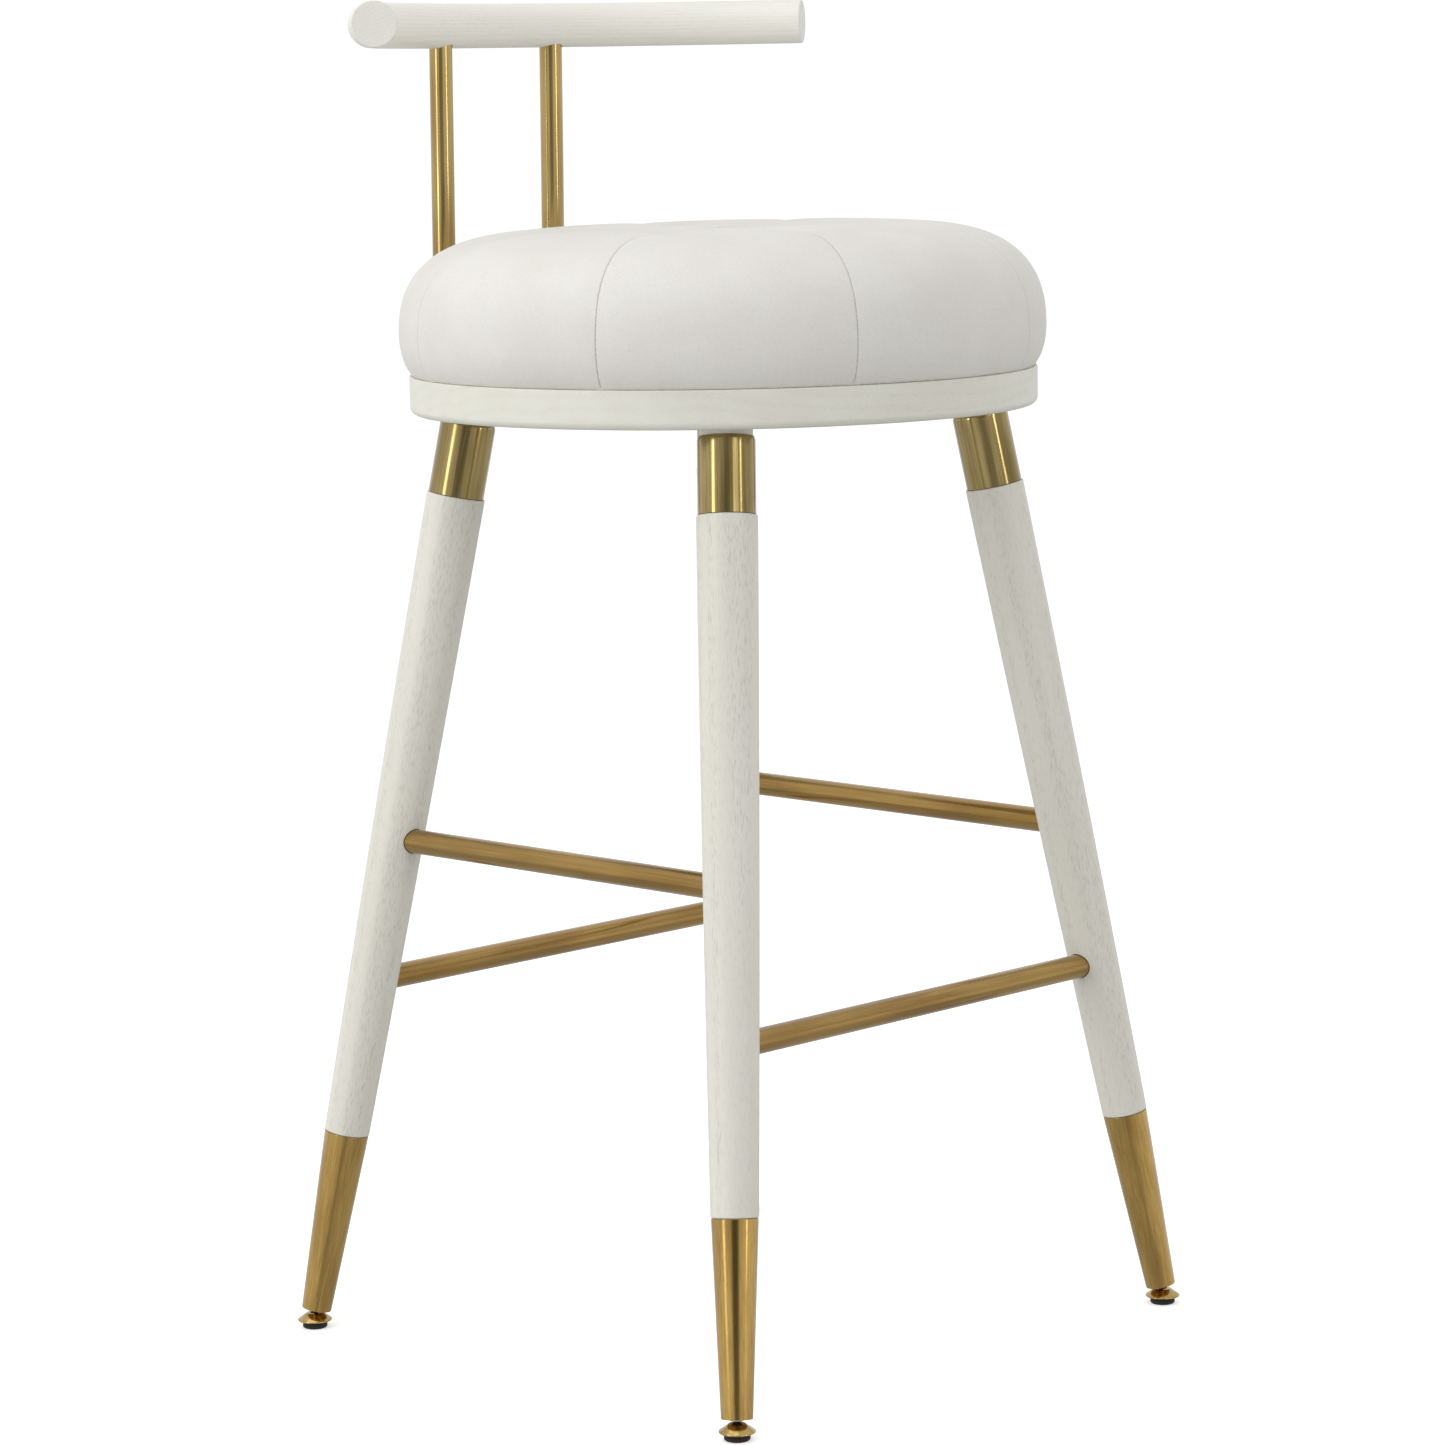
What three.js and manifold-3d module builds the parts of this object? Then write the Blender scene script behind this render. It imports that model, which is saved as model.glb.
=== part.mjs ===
// A bar stool: a round upholstered seat on four splayed turned legs, brass stretchers to rest
// the feet on, a low curved back bar on two posts, and four levelling glides.
// Units are millimetres and +Z is up. The stool faces -Y, and left and right are as seen from
// the front. Heights are above the floor. The seat's axis is the line that the whole stool is
// laid out about, and the finished group is moved at the end so that its origin is on the
// floor under the middle of its overall box.
import * as THREE from "three";
import { mergeVertices } from "three/addons/utils/BufferGeometryUtils.js";
import Module from "manifold-3d";

// ---- Driving dimensions ----

// Seat base: the painted wooden disc that the legs, the seat and the back are fixed to.
const SEAT_BASE_UNDERSIDE = 641;
const SEAT_BASE_THICKNESS = 26;
const SEAT_BASE_RADIUS = 215;
const SEAT_BASE_EDGE_ROUND = 5;
const SEAT_BASE_TOP_EDGE = 1;

// Cushion: board, foam and a sewn cover that is turned in under the board.
const CUSHION_HEIGHT = 95;
const CUSHION_OVERHANG = 6;
const CUSHION_FOOT_INSET = 2;
const CUSHION_BULGE_HEIGHT = 27;
const CUSHION_SHOULDER_WIDTH = 91;
const CUSHION_SHOULDER_POWER = 2.5;
const COVER_THICKNESS = 1.5;
const COVER_TURN_IN = 24;
const SEAT_BOARD_THICKNESS = 12;
const SEAT_SCREW_CIRCLE_RADIUS = 130;

// Legs: turned, with a little swelling between the two ends of the taper. The axis of each leg
// runs from its foot point on the floor to its head point at the underside of the base, which
// is set in from the base's rim both ways.
const LEG_HEAD_INSET_X = 91;
const LEG_HEAD_INSET_Y = 93;
const LEG_FOOT_X = 218;
const LEG_FOOT_Y = 207;
const LEG_TOP_DIAMETER = 40.4;
const LEG_BOTTOM_DIAMETER = 31.4;
const LEG_SWELL = 0.6;
const LEG_TENON_DIAMETER = 35;
const LEG_SOCKET_DEPTH = 8;

// Collar: the brass sleeve round the tenon, between the leg's shoulder and the seat base.
const COLLAR_DIAMETER = 38.4;
const COLLAR_BOTTOM_BELOW_BASE = 57;
const COLLAR_LENGTH = 51;

// Ferrule: the tapered brass cup on the leg's lower end.
const FERRULE_TOP_HEIGHT = 139;
const FERRULE_BOTTOM_HEIGHT = 13.2;
const FERRULE_TOP_DIAMETER = 30.9;
const FERRULE_BOTTOM_DIAMETER = 20.8;
const FERRULE_WALL = 1.2;

// Stretchers: round brass tubes. The side pair sits higher than the front and back pair.
const STRETCHER_DIAMETER = 16.8;
const STRETCHER_WALL = 1.5;
const SIDE_STRETCHER_HEIGHT = 346;
const FRONT_STRETCHER_HEIGHT = 246.5;
const BACK_STRETCHER_HEIGHT = 246.5;
const STRETCHER_END_TO_LEG_AXIS = 6;

// Back: a curved round bar on two posts that are welded to a plate under the seat base.
const BACK_BAR_DIAMETER = 31.4;
const BACK_BAR_ABOVE_CUSHION = 142;
const BACK_BAR_CURVE_RADIUS = 252;
const BACK_BAR_HALF_ANGLE = THREE.MathUtils.degToRad(55.6);
const POST_DIAMETER = 16.4;
const POST_WALL = 1.5;
const POST_SPACING = 107;
const POST_TO_CUSHION = 0.3;
const POST_LEAN = THREE.MathUtils.degToRad(0.85);
const POST_DEPTH_IN_BAR = 11;
const BACK_PLATE_THICKNESS = 5;
const BACK_PLATE_WIDTH = 150;
const BACK_PLATE_FRONT_INSET = 50;
const BACK_PLATE_EDGE_PAST_POST = 4;
const BACK_PLATE_CORNER_RADIUS = 12;
const PLATE_SCREW_EDGE = 14;
const PLATE_SCREW_ROW_SPACING = 18;
const PLATE_SCREW_INNER_SPACING = 60;

// Glides: a threaded stem with a ball on its end, and a foot that tilts on the ball.
const GLIDE_PIVOT_HEIGHT = 6.6;
const GLIDE_BALL_RADIUS = 3.3;
const GLIDE_BALL_FLAT = 2.4;
const GLIDE_PIN_RADIUS = 1.6;
const GLIDE_HEX_ACROSS_FLATS = 8;
const GLIDE_HEX_HEIGHT = 1;
const GLIDE_STEM_RADIUS = 3.7;
const GLIDE_STEM_LENGTH = 24;
const GLIDE_STEM_CHAMFER = 1;
const GLIDE_FOOT_RADIUS = 12.1;
const GLIDE_FOOT_RIM_HEIGHT = 5.7;
const GLIDE_FOOT_RIM_ROUND = 0.6;
const GLIDE_FOOT_TOP_RADIUS = 5.6;
const GLIDE_FOOT_TOP_HEIGHT = 10.6;
const GLIDE_PAD_RADIUS = 8.6;
const GLIDE_PAD_THICKNESS = 3.4;
const GLIDE_PAD_EDGE = 0.8;
const GLIDE_PAD_INSET = 0.3;
const GLIDE_TILT = THREE.MathUtils.degToRad(15);

// Hardware.
const INSERT_RADIUS = 6;
const INSERT_LENGTH = 18;
const LEG_BOLT_RADIUS = 3.8;
const LEG_BOLT_LENGTH = 34;
const LEG_BOLT_CHAMFER = 1;
const LEG_BOLT_HEAD_RADIUS = 6.5;
const LEG_BOLT_HEAD_HEIGHT = 7;
const LEG_BOLT_HEX_RADIUS = 3.4;
const LEG_BOLT_HEX_DEPTH = 4;
const LEG_BOLT_HEAD_RECESS = 3.5;
const SCREW_RADIUS = 2.1;
const SCREW_HEAD_RADIUS = 4.2;
const SCREW_HEAD_DEPTH = 2.4;
const SCREW_HEAD_CROWN_RADIUS = 2.9;
const SCREW_HEAD_CROWN_DEPTH = 1.4;
const SEAT_SCREW_BITE = 8;
const PLATE_SCREW_BITE = 14;

// Clearance between a piece and the hole, socket or shell that it fits.
const FIT = 0.35;
// Empty bore past the end of a stem or bolt.
const BORE_PAST_END = 3;
// Extra reach of a cutting tool past the face that it starts from.
const OVERCUT = 4;

// Facets round each kind of turned piece.
const SEAT_SIDES = 40;
const LEG_SIDES = 16;
const GLIDE_SIDES = 16;
const HARDWARE_SIDES = 10;

// ---- Finishes ----

const finishes = {
  paintedWood: new THREE.MeshStandardMaterial({ color: 0xe6e5dc, roughness: 0.55, metalness: 0 }),
  brass: new THREE.MeshStandardMaterial({ color: 0xa98945, roughness: 0.3, metalness: 1 }),
  steel: new THREE.MeshStandardMaterial({ color: 0xb9bbbd, roughness: 0.35, metalness: 1 }),
  cover: new THREE.MeshStandardMaterial({ color: 0xebe9e4, roughness: 0.6, metalness: 0 }),
  foam: new THREE.MeshStandardMaterial({ color: 0xe8dfae, roughness: 0.95, metalness: 0 }),
  plywood: new THREE.MeshStandardMaterial({ color: 0xc9a777, roughness: 0.8, metalness: 0 }),
  nylon: new THREE.MeshStandardMaterial({ color: 0xd9d8d2, roughness: 0.5, metalness: 0 }),
  rubber: new THREE.MeshStandardMaterial({ color: 0x1b1b1c, roughness: 0.8, metalness: 0 }),
};

// ---- Solids ----

const manifold = await Module();
manifold.setup();

// A closed solid for joining and cutting, made from a geometry.
function solidOf(geometry) {
  const bare = geometry.clone();
  bare.deleteAttribute("normal");
  bare.deleteAttribute("uv");
  const merged = mergeVertices(bare, 1e-4);
  return new manifold.Manifold(new manifold.Mesh({
    numProp: 3,
    vertProperties: new Float32Array(merged.attributes.position.array),
    triVerts: new Uint32Array(merged.index.array),
  }));
}

function geometryOf(solid) {
  const mesh = solid.getMesh();
  const result = new THREE.BufferGeometry();
  result.setAttribute("position", new THREE.BufferAttribute(new Float32Array(mesh.vertProperties), 3));
  result.setIndex(new THREE.BufferAttribute(new Uint32Array(mesh.triVerts), 1));
  result.computeVertexNormals();
  return result;
}

// The first geometry with each of the others cut out of it.
function cutFrom(geometry, ...cutters) {
  let solid = solidOf(geometry);
  for (const cutter of cutters) {
    solid = solid.subtract(solidOf(cutter));
  }
  return geometryOf(solid);
}

// The two geometries joined in one solid.
function joined(first, second) {
  return geometryOf(solidOf(first).add(solidOf(second)));
}

// A profile of [radius, height] points turned about Z. It goes up the outside, and it starts
// and ends on the axis or closes on itself.
function turned(profile, sides) {
  const points = profile.map(([radius, height]) => new THREE.Vector2(radius, height));
  return new THREE.LatheGeometry(points, sides).rotateX(Math.PI / 2);
}

// A round bar from one height to another.
function cylinder(radius, bottom, top, sides) {
  const height = top - bottom;
  const bar = new THREE.CylinderGeometry(radius, radius, height, sides).rotateX(Math.PI / 2);
  return bar.translate(0, 0, (bottom + top) / 2);
}

// A sleeve: a straight tube with square ends.
function sleeve(outer, inner, bottom, top, sides) {
  const profile = [[inner, bottom], [outer, bottom], [outer, top], [inner, top], [inner, bottom]];
  return turned(profile, sides);
}

// Points on a quarter round from one angle to another, about a centre.
function arcPoints(centreRadius, centreHeight, radius, fromAngle, toAngle, steps) {
  const points = [];
  for (let step = 0; step <= steps; step += 1) {
    const angle = fromAngle + ((toAngle - fromAngle) * step) / steps;
    points.push([centreRadius + radius * Math.cos(angle), centreHeight + radius * Math.sin(angle)]);
  }
  return points;
}

// The facets of a turned hole lie inside its radius, so a hole's radius is grown to clear.
function holeRadius(radius, sides) {
  return (radius + FIT) / Math.cos(Math.PI / sides);
}

const stool = new THREE.Group();

function add(parent, name, geometry, finish) {
  const mesh = new THREE.Mesh(geometry, finish);
  mesh.name = name;
  parent.add(mesh);
  return mesh;
}

// ---- Layout worked out from the driving dimensions ----

const seatBaseTop = SEAT_BASE_UNDERSIDE + SEAT_BASE_THICKNESS;
const cushionRadius = SEAT_BASE_RADIUS + CUSHION_OVERHANG;
const cushionFootRadius = SEAT_BASE_RADIUS - CUSHION_FOOT_INSET;
const legHeadX = SEAT_BASE_RADIUS - LEG_HEAD_INSET_X;
const legHeadY = SEAT_BASE_RADIUS - LEG_HEAD_INSET_Y;
const legDirection = new THREE.Vector3(
  legHeadX - LEG_FOOT_X, legHeadY - LEG_FOOT_Y, SEAT_BASE_UNDERSIDE).normalize();
const legSlope = legDirection.z;

// Distance along a leg's axis, from its foot point, of a height above the floor.
const alongLeg = (height) => height / legSlope;

// Where a leg's axis passes a height, as distances from the seat's axis.
function legAxisAt(height) {
  const share = height / SEAT_BASE_UNDERSIDE;
  return {
    x: LEG_FOOT_X + (legHeadX - LEG_FOOT_X) * share,
    y: LEG_FOOT_Y + (legHeadY - LEG_FOOT_Y) * share,
  };
}

const corners = [
  { name: "front_left", x: -1, y: -1 },
  { name: "front_right", x: 1, y: -1 },
  { name: "back_left", x: -1, y: 1 },
  { name: "back_right", x: 1, y: 1 },
];

// A group whose origin is a leg's foot point and whose Z runs up the leg's axis.
function legFrame(corner) {
  const frame = new THREE.Group();
  frame.position.set(corner.x * LEG_FOOT_X, corner.y * LEG_FOOT_Y, 0);
  const direction = new THREE.Vector3(
    corner.x * legDirection.x, corner.y * legDirection.y, legDirection.z);
  frame.quaternion.setFromUnitVectors(new THREE.Vector3(0, 0, 1), direction);
  frame.updateMatrix();
  return frame;
}

// ---- Stretchers ----

// Each stretcher runs between two leg axes at its height, along X or along Y.
const frontAxis = legAxisAt(FRONT_STRETCHER_HEIGHT);
const backAxis = legAxisAt(BACK_STRETCHER_HEIGHT);
const sideAxis = legAxisAt(SIDE_STRETCHER_HEIGHT);
const stretchers = [
  { name: "stretcher_front", along: "x", half: frontAxis.x, offset: -frontAxis.y,
    height: FRONT_STRETCHER_HEIGHT },
  { name: "stretcher_back", along: "x", half: backAxis.x, offset: backAxis.y,
    height: BACK_STRETCHER_HEIGHT },
  { name: "stretcher_left", along: "y", half: sideAxis.y, offset: -sideAxis.x,
    height: SIDE_STRETCHER_HEIGHT },
  { name: "stretcher_right", along: "y", half: sideAxis.y, offset: sideAxis.x,
    height: SIDE_STRETCHER_HEIGHT },
];

const stretcherRadius = STRETCHER_DIAMETER / 2;

// A piece that was made along Z, laid along a stretcher's axis. Its top points to +X or +Y where
// the sign is 1, and to -X or -Y where it is -1.
function layAlong(stretcher, piece, sign) {
  if (stretcher.along === "x") {
    return piece.rotateY((sign * Math.PI) / 2).translate(0, stretcher.offset, stretcher.height);
  }
  return piece.rotateX((-sign * Math.PI) / 2).translate(stretcher.offset, 0, stretcher.height);
}

// The blind hole in a leg, at one corner, that one end of a stretcher is let into.
function stretcherSocket(stretcher, corner) {
  const sign = stretcher.along === "x" ? corner.x : corner.y;
  const far = stretcher.half - STRETCHER_END_TO_LEG_AXIS + FIT;
  const near = far - LEG_TOP_DIAMETER;
  const tool = cylinder(holeRadius(stretcherRadius, LEG_SIDES), near, far, LEG_SIDES);
  return layAlong(stretcher, tool, sign);
}

// Each tube stops short of the leg axes at its ends.
for (const stretcher of stretchers) {
  const reach = stretcher.half - STRETCHER_END_TO_LEG_AXIS;
  const tube = sleeve(stretcherRadius, stretcherRadius - STRETCHER_WALL, -reach, reach, LEG_SIDES);
  add(stool, stretcher.name, layAlong(stretcher, tube, 1), finishes.brass);
}

// ---- Legs with their collars, ferrules and inserts ----

const ferruleBottom = alongLeg(FERRULE_BOTTOM_HEIGHT);
const ferruleTop = alongLeg(FERRULE_TOP_HEIGHT);
const collarBottom = alongLeg(SEAT_BASE_UNDERSIDE - COLLAR_BOTTOM_BELOW_BASE);
const collarTop = collarBottom + COLLAR_LENGTH;
const tenonTop = alongLeg(SEAT_BASE_UNDERSIDE) + LEG_SOCKET_DEPTH - FIT;
const tenonRadius = LEG_TENON_DIAMETER / 2;
const footInsertBottom = ferruleBottom + FERRULE_WALL + FIT;
const headInsertBottom = tenonTop - INSERT_LENGTH;

// The glide's stem at rest, and the head bolt, with room past their ends.
const pivotAlongLeg = alongLeg(GLIDE_PIVOT_HEIGHT);
const stemHexTop = ferruleBottom - FIT / 2;
const stemTop = stemHexTop + GLIDE_STEM_LENGTH;
const boltHeadSeat = alongLeg(seatBaseTop) - LEG_BOLT_HEAD_RECESS - LEG_BOLT_HEAD_HEIGHT;
const boltEnd = boltHeadSeat - LEG_BOLT_LENGTH;

// The turned outline from the lower spigot, up the swelling taper, to the tenon.
function legProfile() {
  const spigotBottomRadius = FERRULE_BOTTOM_DIAMETER / 2 - FERRULE_WALL - FIT;
  const spigotTopRadius = FERRULE_TOP_DIAMETER / 2 - FERRULE_WALL - FIT;
  const shoulder = ferruleTop + FIT;
  const profile = [[0, footInsertBottom], [spigotBottomRadius, footInsertBottom]];
  profile.push([spigotTopRadius, shoulder]);
  const taperSteps = 5;
  for (let step = 0; step <= taperSteps; step += 1) {
    const share = step / taperSteps;
    const straight = THREE.MathUtils.lerp(LEG_BOTTOM_DIAMETER, LEG_TOP_DIAMETER, share) / 2;
    const swell = 4 * LEG_SWELL * share * (1 - share);
    profile.push([straight + swell, THREE.MathUtils.lerp(shoulder, collarBottom - FIT, share)]);
  }
  profile.push([tenonRadius, collarBottom - FIT], [tenonRadius, tenonTop], [0, tenonTop]);
  return profile;
}

// The tapered cup: outer wall up, inner wall down, and a floor with the stem's hole.
function ferruleProfile() {
  const bottomRadius = FERRULE_BOTTOM_DIAMETER / 2;
  const topRadius = FERRULE_TOP_DIAMETER / 2;
  const floorHole = holeRadius(GLIDE_STEM_RADIUS, HARDWARE_SIDES);
  const floorTop = ferruleBottom + FERRULE_WALL;
  return [
    [floorHole, ferruleBottom], [bottomRadius, ferruleBottom], [topRadius, ferruleTop],
    [topRadius - FERRULE_WALL, ferruleTop], [bottomRadius - FERRULE_WALL, floorTop],
    [floorHole, floorTop], [floorHole, ferruleBottom],
  ];
}

for (const corner of corners) {
  const frame = legFrame(corner);
  stool.add(frame);
  const toLeg = frame.matrix.clone().invert();
  const pocket = holeRadius(INSERT_RADIUS, HARDWARE_SIDES);
  const stemBore = holeRadius(GLIDE_STEM_RADIUS, HARDWARE_SIDES);
  const boltBore = holeRadius(LEG_BOLT_RADIUS, HARDWARE_SIDES);
  const cutters = [
    cylinder(pocket, footInsertBottom - OVERCUT, footInsertBottom + INSERT_LENGTH + FIT, HARDWARE_SIDES),
    cylinder(stemBore, footInsertBottom, stemTop + BORE_PAST_END, HARDWARE_SIDES),
    cylinder(pocket, headInsertBottom - FIT, tenonTop + OVERCUT, HARDWARE_SIDES),
    cylinder(boltBore, boltEnd - BORE_PAST_END, tenonTop, HARDWARE_SIDES),
  ];
  for (const stretcher of stretchers) {
    const sign = stretcher.along === "x" ? corner.y : corner.x;
    if (Math.sign(stretcher.offset) === sign) {
      cutters.push(stretcherSocket(stretcher, corner).applyMatrix4(toLeg));
    }
  }
  const leg = cutFrom(turned(legProfile(), LEG_SIDES), ...cutters);
  add(frame, `leg_${corner.name}`, leg, finishes.paintedWood);

  const collarBore = holeRadius(tenonRadius, LEG_SIDES);
  const collar = sleeve(COLLAR_DIAMETER / 2, collarBore, collarBottom, collarTop, LEG_SIDES);
  add(frame, `collar_${corner.name}`, collar, finishes.brass);
  add(frame, `ferrule_${corner.name}`, turned(ferruleProfile(), LEG_SIDES), finishes.brass);

  const footInsert = sleeve(INSERT_RADIUS, stemBore, footInsertBottom,
    footInsertBottom + INSERT_LENGTH, HARDWARE_SIDES);
  add(frame, `foot_insert_${corner.name}`, footInsert, finishes.steel);
  const headInsert = sleeve(INSERT_RADIUS, boltBore, headInsertBottom, tenonTop, HARDWARE_SIDES);
  add(frame, `head_insert_${corner.name}`, headInsert, finishes.steel);
}

// ---- Glides ----

// Heights in a glide's own frame are counted along the leg's axis from the ball's centre.
const hexTop = stemHexTop - pivotAlongLeg;
const hexBottom = hexTop - GLIDE_HEX_HEIGHT;
const pinEnd = -GLIDE_BALL_RADIUS / 2;
const ballBore = holeRadius(GLIDE_PIN_RADIUS, GLIDE_SIDES);

// The stem: a pin that turns in the ball, a hexagon for a spanner, and the threaded shank.
function glideStem() {
  const hexMiddle = (hexBottom + hexTop) / 2;
  const shankTop = stemTop - pivotAlongLeg;
  const bar = turned([
    [0, pinEnd], [GLIDE_PIN_RADIUS, pinEnd], [GLIDE_PIN_RADIUS, hexMiddle],
    [GLIDE_STEM_RADIUS, hexMiddle], [GLIDE_STEM_RADIUS, shankTop - GLIDE_STEM_CHAMFER],
    [GLIDE_STEM_RADIUS - GLIDE_STEM_CHAMFER, shankTop], [0, shankTop],
  ], HARDWARE_SIDES);
  const hexagon = cylinder(GLIDE_HEX_ACROSS_FLATS / Math.sqrt(3), hexBottom, hexTop, 6);
  return joined(bar, hexagon);
}

// The ball: flat underneath, with a blind bore for the stem's pin.
function glideBall() {
  const flatAngle = -Math.asin(GLIDE_BALL_FLAT / GLIDE_BALL_RADIUS);
  const boreAngle = Math.acos(ballBore / GLIDE_BALL_RADIUS);
  return turned([
    [0, -GLIDE_BALL_FLAT],
    ...arcPoints(0, 0, GLIDE_BALL_RADIUS, flatAngle, boreAngle, 4),
    [ballBore, pinEnd - FIT], [0, pinEnd - FIT],
  ], GLIDE_SIDES);
}

// The foot: two cones that meet at a rounded rim, hollowed below for the ball. Its mouth is
// just wide enough for the pin at the largest tilt.
function glideFoot() {
  const facet = Math.cos(Math.PI / GLIDE_SIDES);
  const socket = holeRadius(GLIDE_BALL_RADIUS, GLIDE_SIDES);
  const mouthAngle = Math.PI / 2 - GLIDE_TILT - Math.asin((GLIDE_PIN_RADIUS + FIT) / (socket * facet));
  const bottom = GLIDE_PAD_THICKNESS - GLIDE_PIVOT_HEIGHT;
  const top = GLIDE_FOOT_TOP_HEIGHT - GLIDE_PIVOT_HEIGHT;
  const rim = GLIDE_FOOT_RIM_HEIGHT - GLIDE_PIVOT_HEIGHT;
  const pinReach = top * Math.tan(GLIDE_TILT) + GLIDE_PIN_RADIUS / Math.cos(GLIDE_TILT);
  const rimCentre = GLIDE_FOOT_RADIUS - GLIDE_FOOT_RIM_ROUND;
  return turned([
    [socket, bottom], [GLIDE_PAD_RADIUS + GLIDE_PAD_INSET, bottom],
    ...arcPoints(rimCentre, rim, GLIDE_FOOT_RIM_ROUND, -Math.PI / 4, Math.PI / 4, 2),
    [GLIDE_FOOT_TOP_RADIUS, top], [(pinReach + FIT) / facet, top],
    ...arcPoints(0, 0, socket, mouthAngle, 0, 2),
    [socket, bottom],
  ], GLIDE_SIDES);
}

// The pad: a rubber disc under the foot, a little smaller at the floor.
function glidePad() {
  const top = GLIDE_PAD_THICKNESS - GLIDE_PIVOT_HEIGHT;
  const floor = -GLIDE_PIVOT_HEIGHT;
  return turned([
    [0, floor], [GLIDE_PAD_RADIUS - GLIDE_PAD_EDGE, floor], [GLIDE_PAD_RADIUS, floor + GLIDE_PAD_EDGE],
    [GLIDE_PAD_RADIUS, top], [0, top],
  ], GLIDE_SIDES);
}

for (const corner of corners) {
  const frame = legFrame(corner);
  stool.add(frame);
  const alongAxis = new THREE.Group();
  alongAxis.position.z = pivotAlongLeg;
  frame.add(alongAxis);
  add(alongAxis, `glide_stem_${corner.name}`, glideStem(), finishes.steel);
  add(alongAxis, `glide_ball_${corner.name}`, glideBall(), finishes.nylon);

  const pivot = legAxisAt(GLIDE_PIVOT_HEIGHT);
  const level = new THREE.Group();
  level.position.set(corner.x * pivot.x, corner.y * pivot.y, GLIDE_PIVOT_HEIGHT);
  stool.add(level);
  add(level, `glide_foot_${corner.name}`, glideFoot(), finishes.brass);
  add(level, `glide_pad_${corner.name}`, glidePad(), finishes.rubber);
}

// ---- Seat base, with the bolts that hold the legs up against it ----

function legBolt() {
  const headTop = boltHeadSeat + LEG_BOLT_HEAD_HEIGHT;
  const bolt = turned([
    [0, boltEnd], [LEG_BOLT_RADIUS - LEG_BOLT_CHAMFER, boltEnd],
    [LEG_BOLT_RADIUS, boltEnd + LEG_BOLT_CHAMFER],
    [LEG_BOLT_RADIUS, boltHeadSeat], [LEG_BOLT_HEAD_RADIUS, boltHeadSeat],
    [LEG_BOLT_HEAD_RADIUS, headTop], [0, headTop],
  ], HARDWARE_SIDES);
  const recess = cylinder(LEG_BOLT_HEX_RADIUS, headTop - LEG_BOLT_HEX_DEPTH, headTop + OVERCUT, 6);
  return cutFrom(bolt, recess);
}

// A pan-head wood screw that points up, with the underside of its head at height 0.
function woodScrew(length) {
  return turned([
    [0, -SCREW_HEAD_DEPTH], [SCREW_HEAD_CROWN_RADIUS, -SCREW_HEAD_DEPTH],
    [SCREW_HEAD_RADIUS, SCREW_HEAD_CROWN_DEPTH - SCREW_HEAD_DEPTH], [SCREW_HEAD_RADIUS, 0],
    [SCREW_RADIUS, 0], [SCREW_RADIUS, length - SCREW_RADIUS], [0, length],
  ], HARDWARE_SIDES);
}

const screwHole = holeRadius(SCREW_RADIUS, HARDWARE_SIDES);
const seatBoardBottom = seatBaseTop + COVER_THICKNESS;
const seatBoardTop = seatBoardBottom + SEAT_BOARD_THICKNESS;
const seatScrewLength = seatBoardBottom - SEAT_BASE_UNDERSIDE + SEAT_SCREW_BITE;
const seatScrews = [
  { name: "front", x: 0, y: -SEAT_SCREW_CIRCLE_RADIUS },
  { name: "back", x: 0, y: SEAT_SCREW_CIRCLE_RADIUS },
  { name: "left", x: -SEAT_SCREW_CIRCLE_RADIUS, y: 0 },
  { name: "right", x: SEAT_SCREW_CIRCLE_RADIUS, y: 0 },
];

// The posts stand just clear of the cushion, and lean forward a little as they rise.
const postRadius = POST_DIAMETER / 2;
const postX = POST_SPACING / 2;
const postToSeatAxis = cushionRadius + POST_TO_CUSHION + postRadius;
const postY = Math.sqrt(postToSeatAxis ** 2 - postX ** 2);
const plateBack = postY + postRadius + BACK_PLATE_EDGE_PAST_POST;
const plateFront = SEAT_BASE_RADIUS - BACK_PLATE_FRONT_INSET;
const plateBottom = SEAT_BASE_UNDERSIDE - BACK_PLATE_THICKNESS;
const plateScrewOuterX = BACK_PLATE_WIDTH / 2 - PLATE_SCREW_EDGE;
const plateScrewFrontY = plateFront + PLATE_SCREW_EDGE;
const plateScrewBackY = plateScrewFrontY + PLATE_SCREW_ROW_SPACING;
const plateScrews = [
  { name: "front_left", x: -plateScrewOuterX, y: plateScrewFrontY },
  { name: "front_right", x: plateScrewOuterX, y: plateScrewFrontY },
  { name: "back_left", x: -PLATE_SCREW_INNER_SPACING / 2, y: plateScrewBackY },
  { name: "back_right", x: PLATE_SCREW_INNER_SPACING / 2, y: plateScrewBackY },
];

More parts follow.
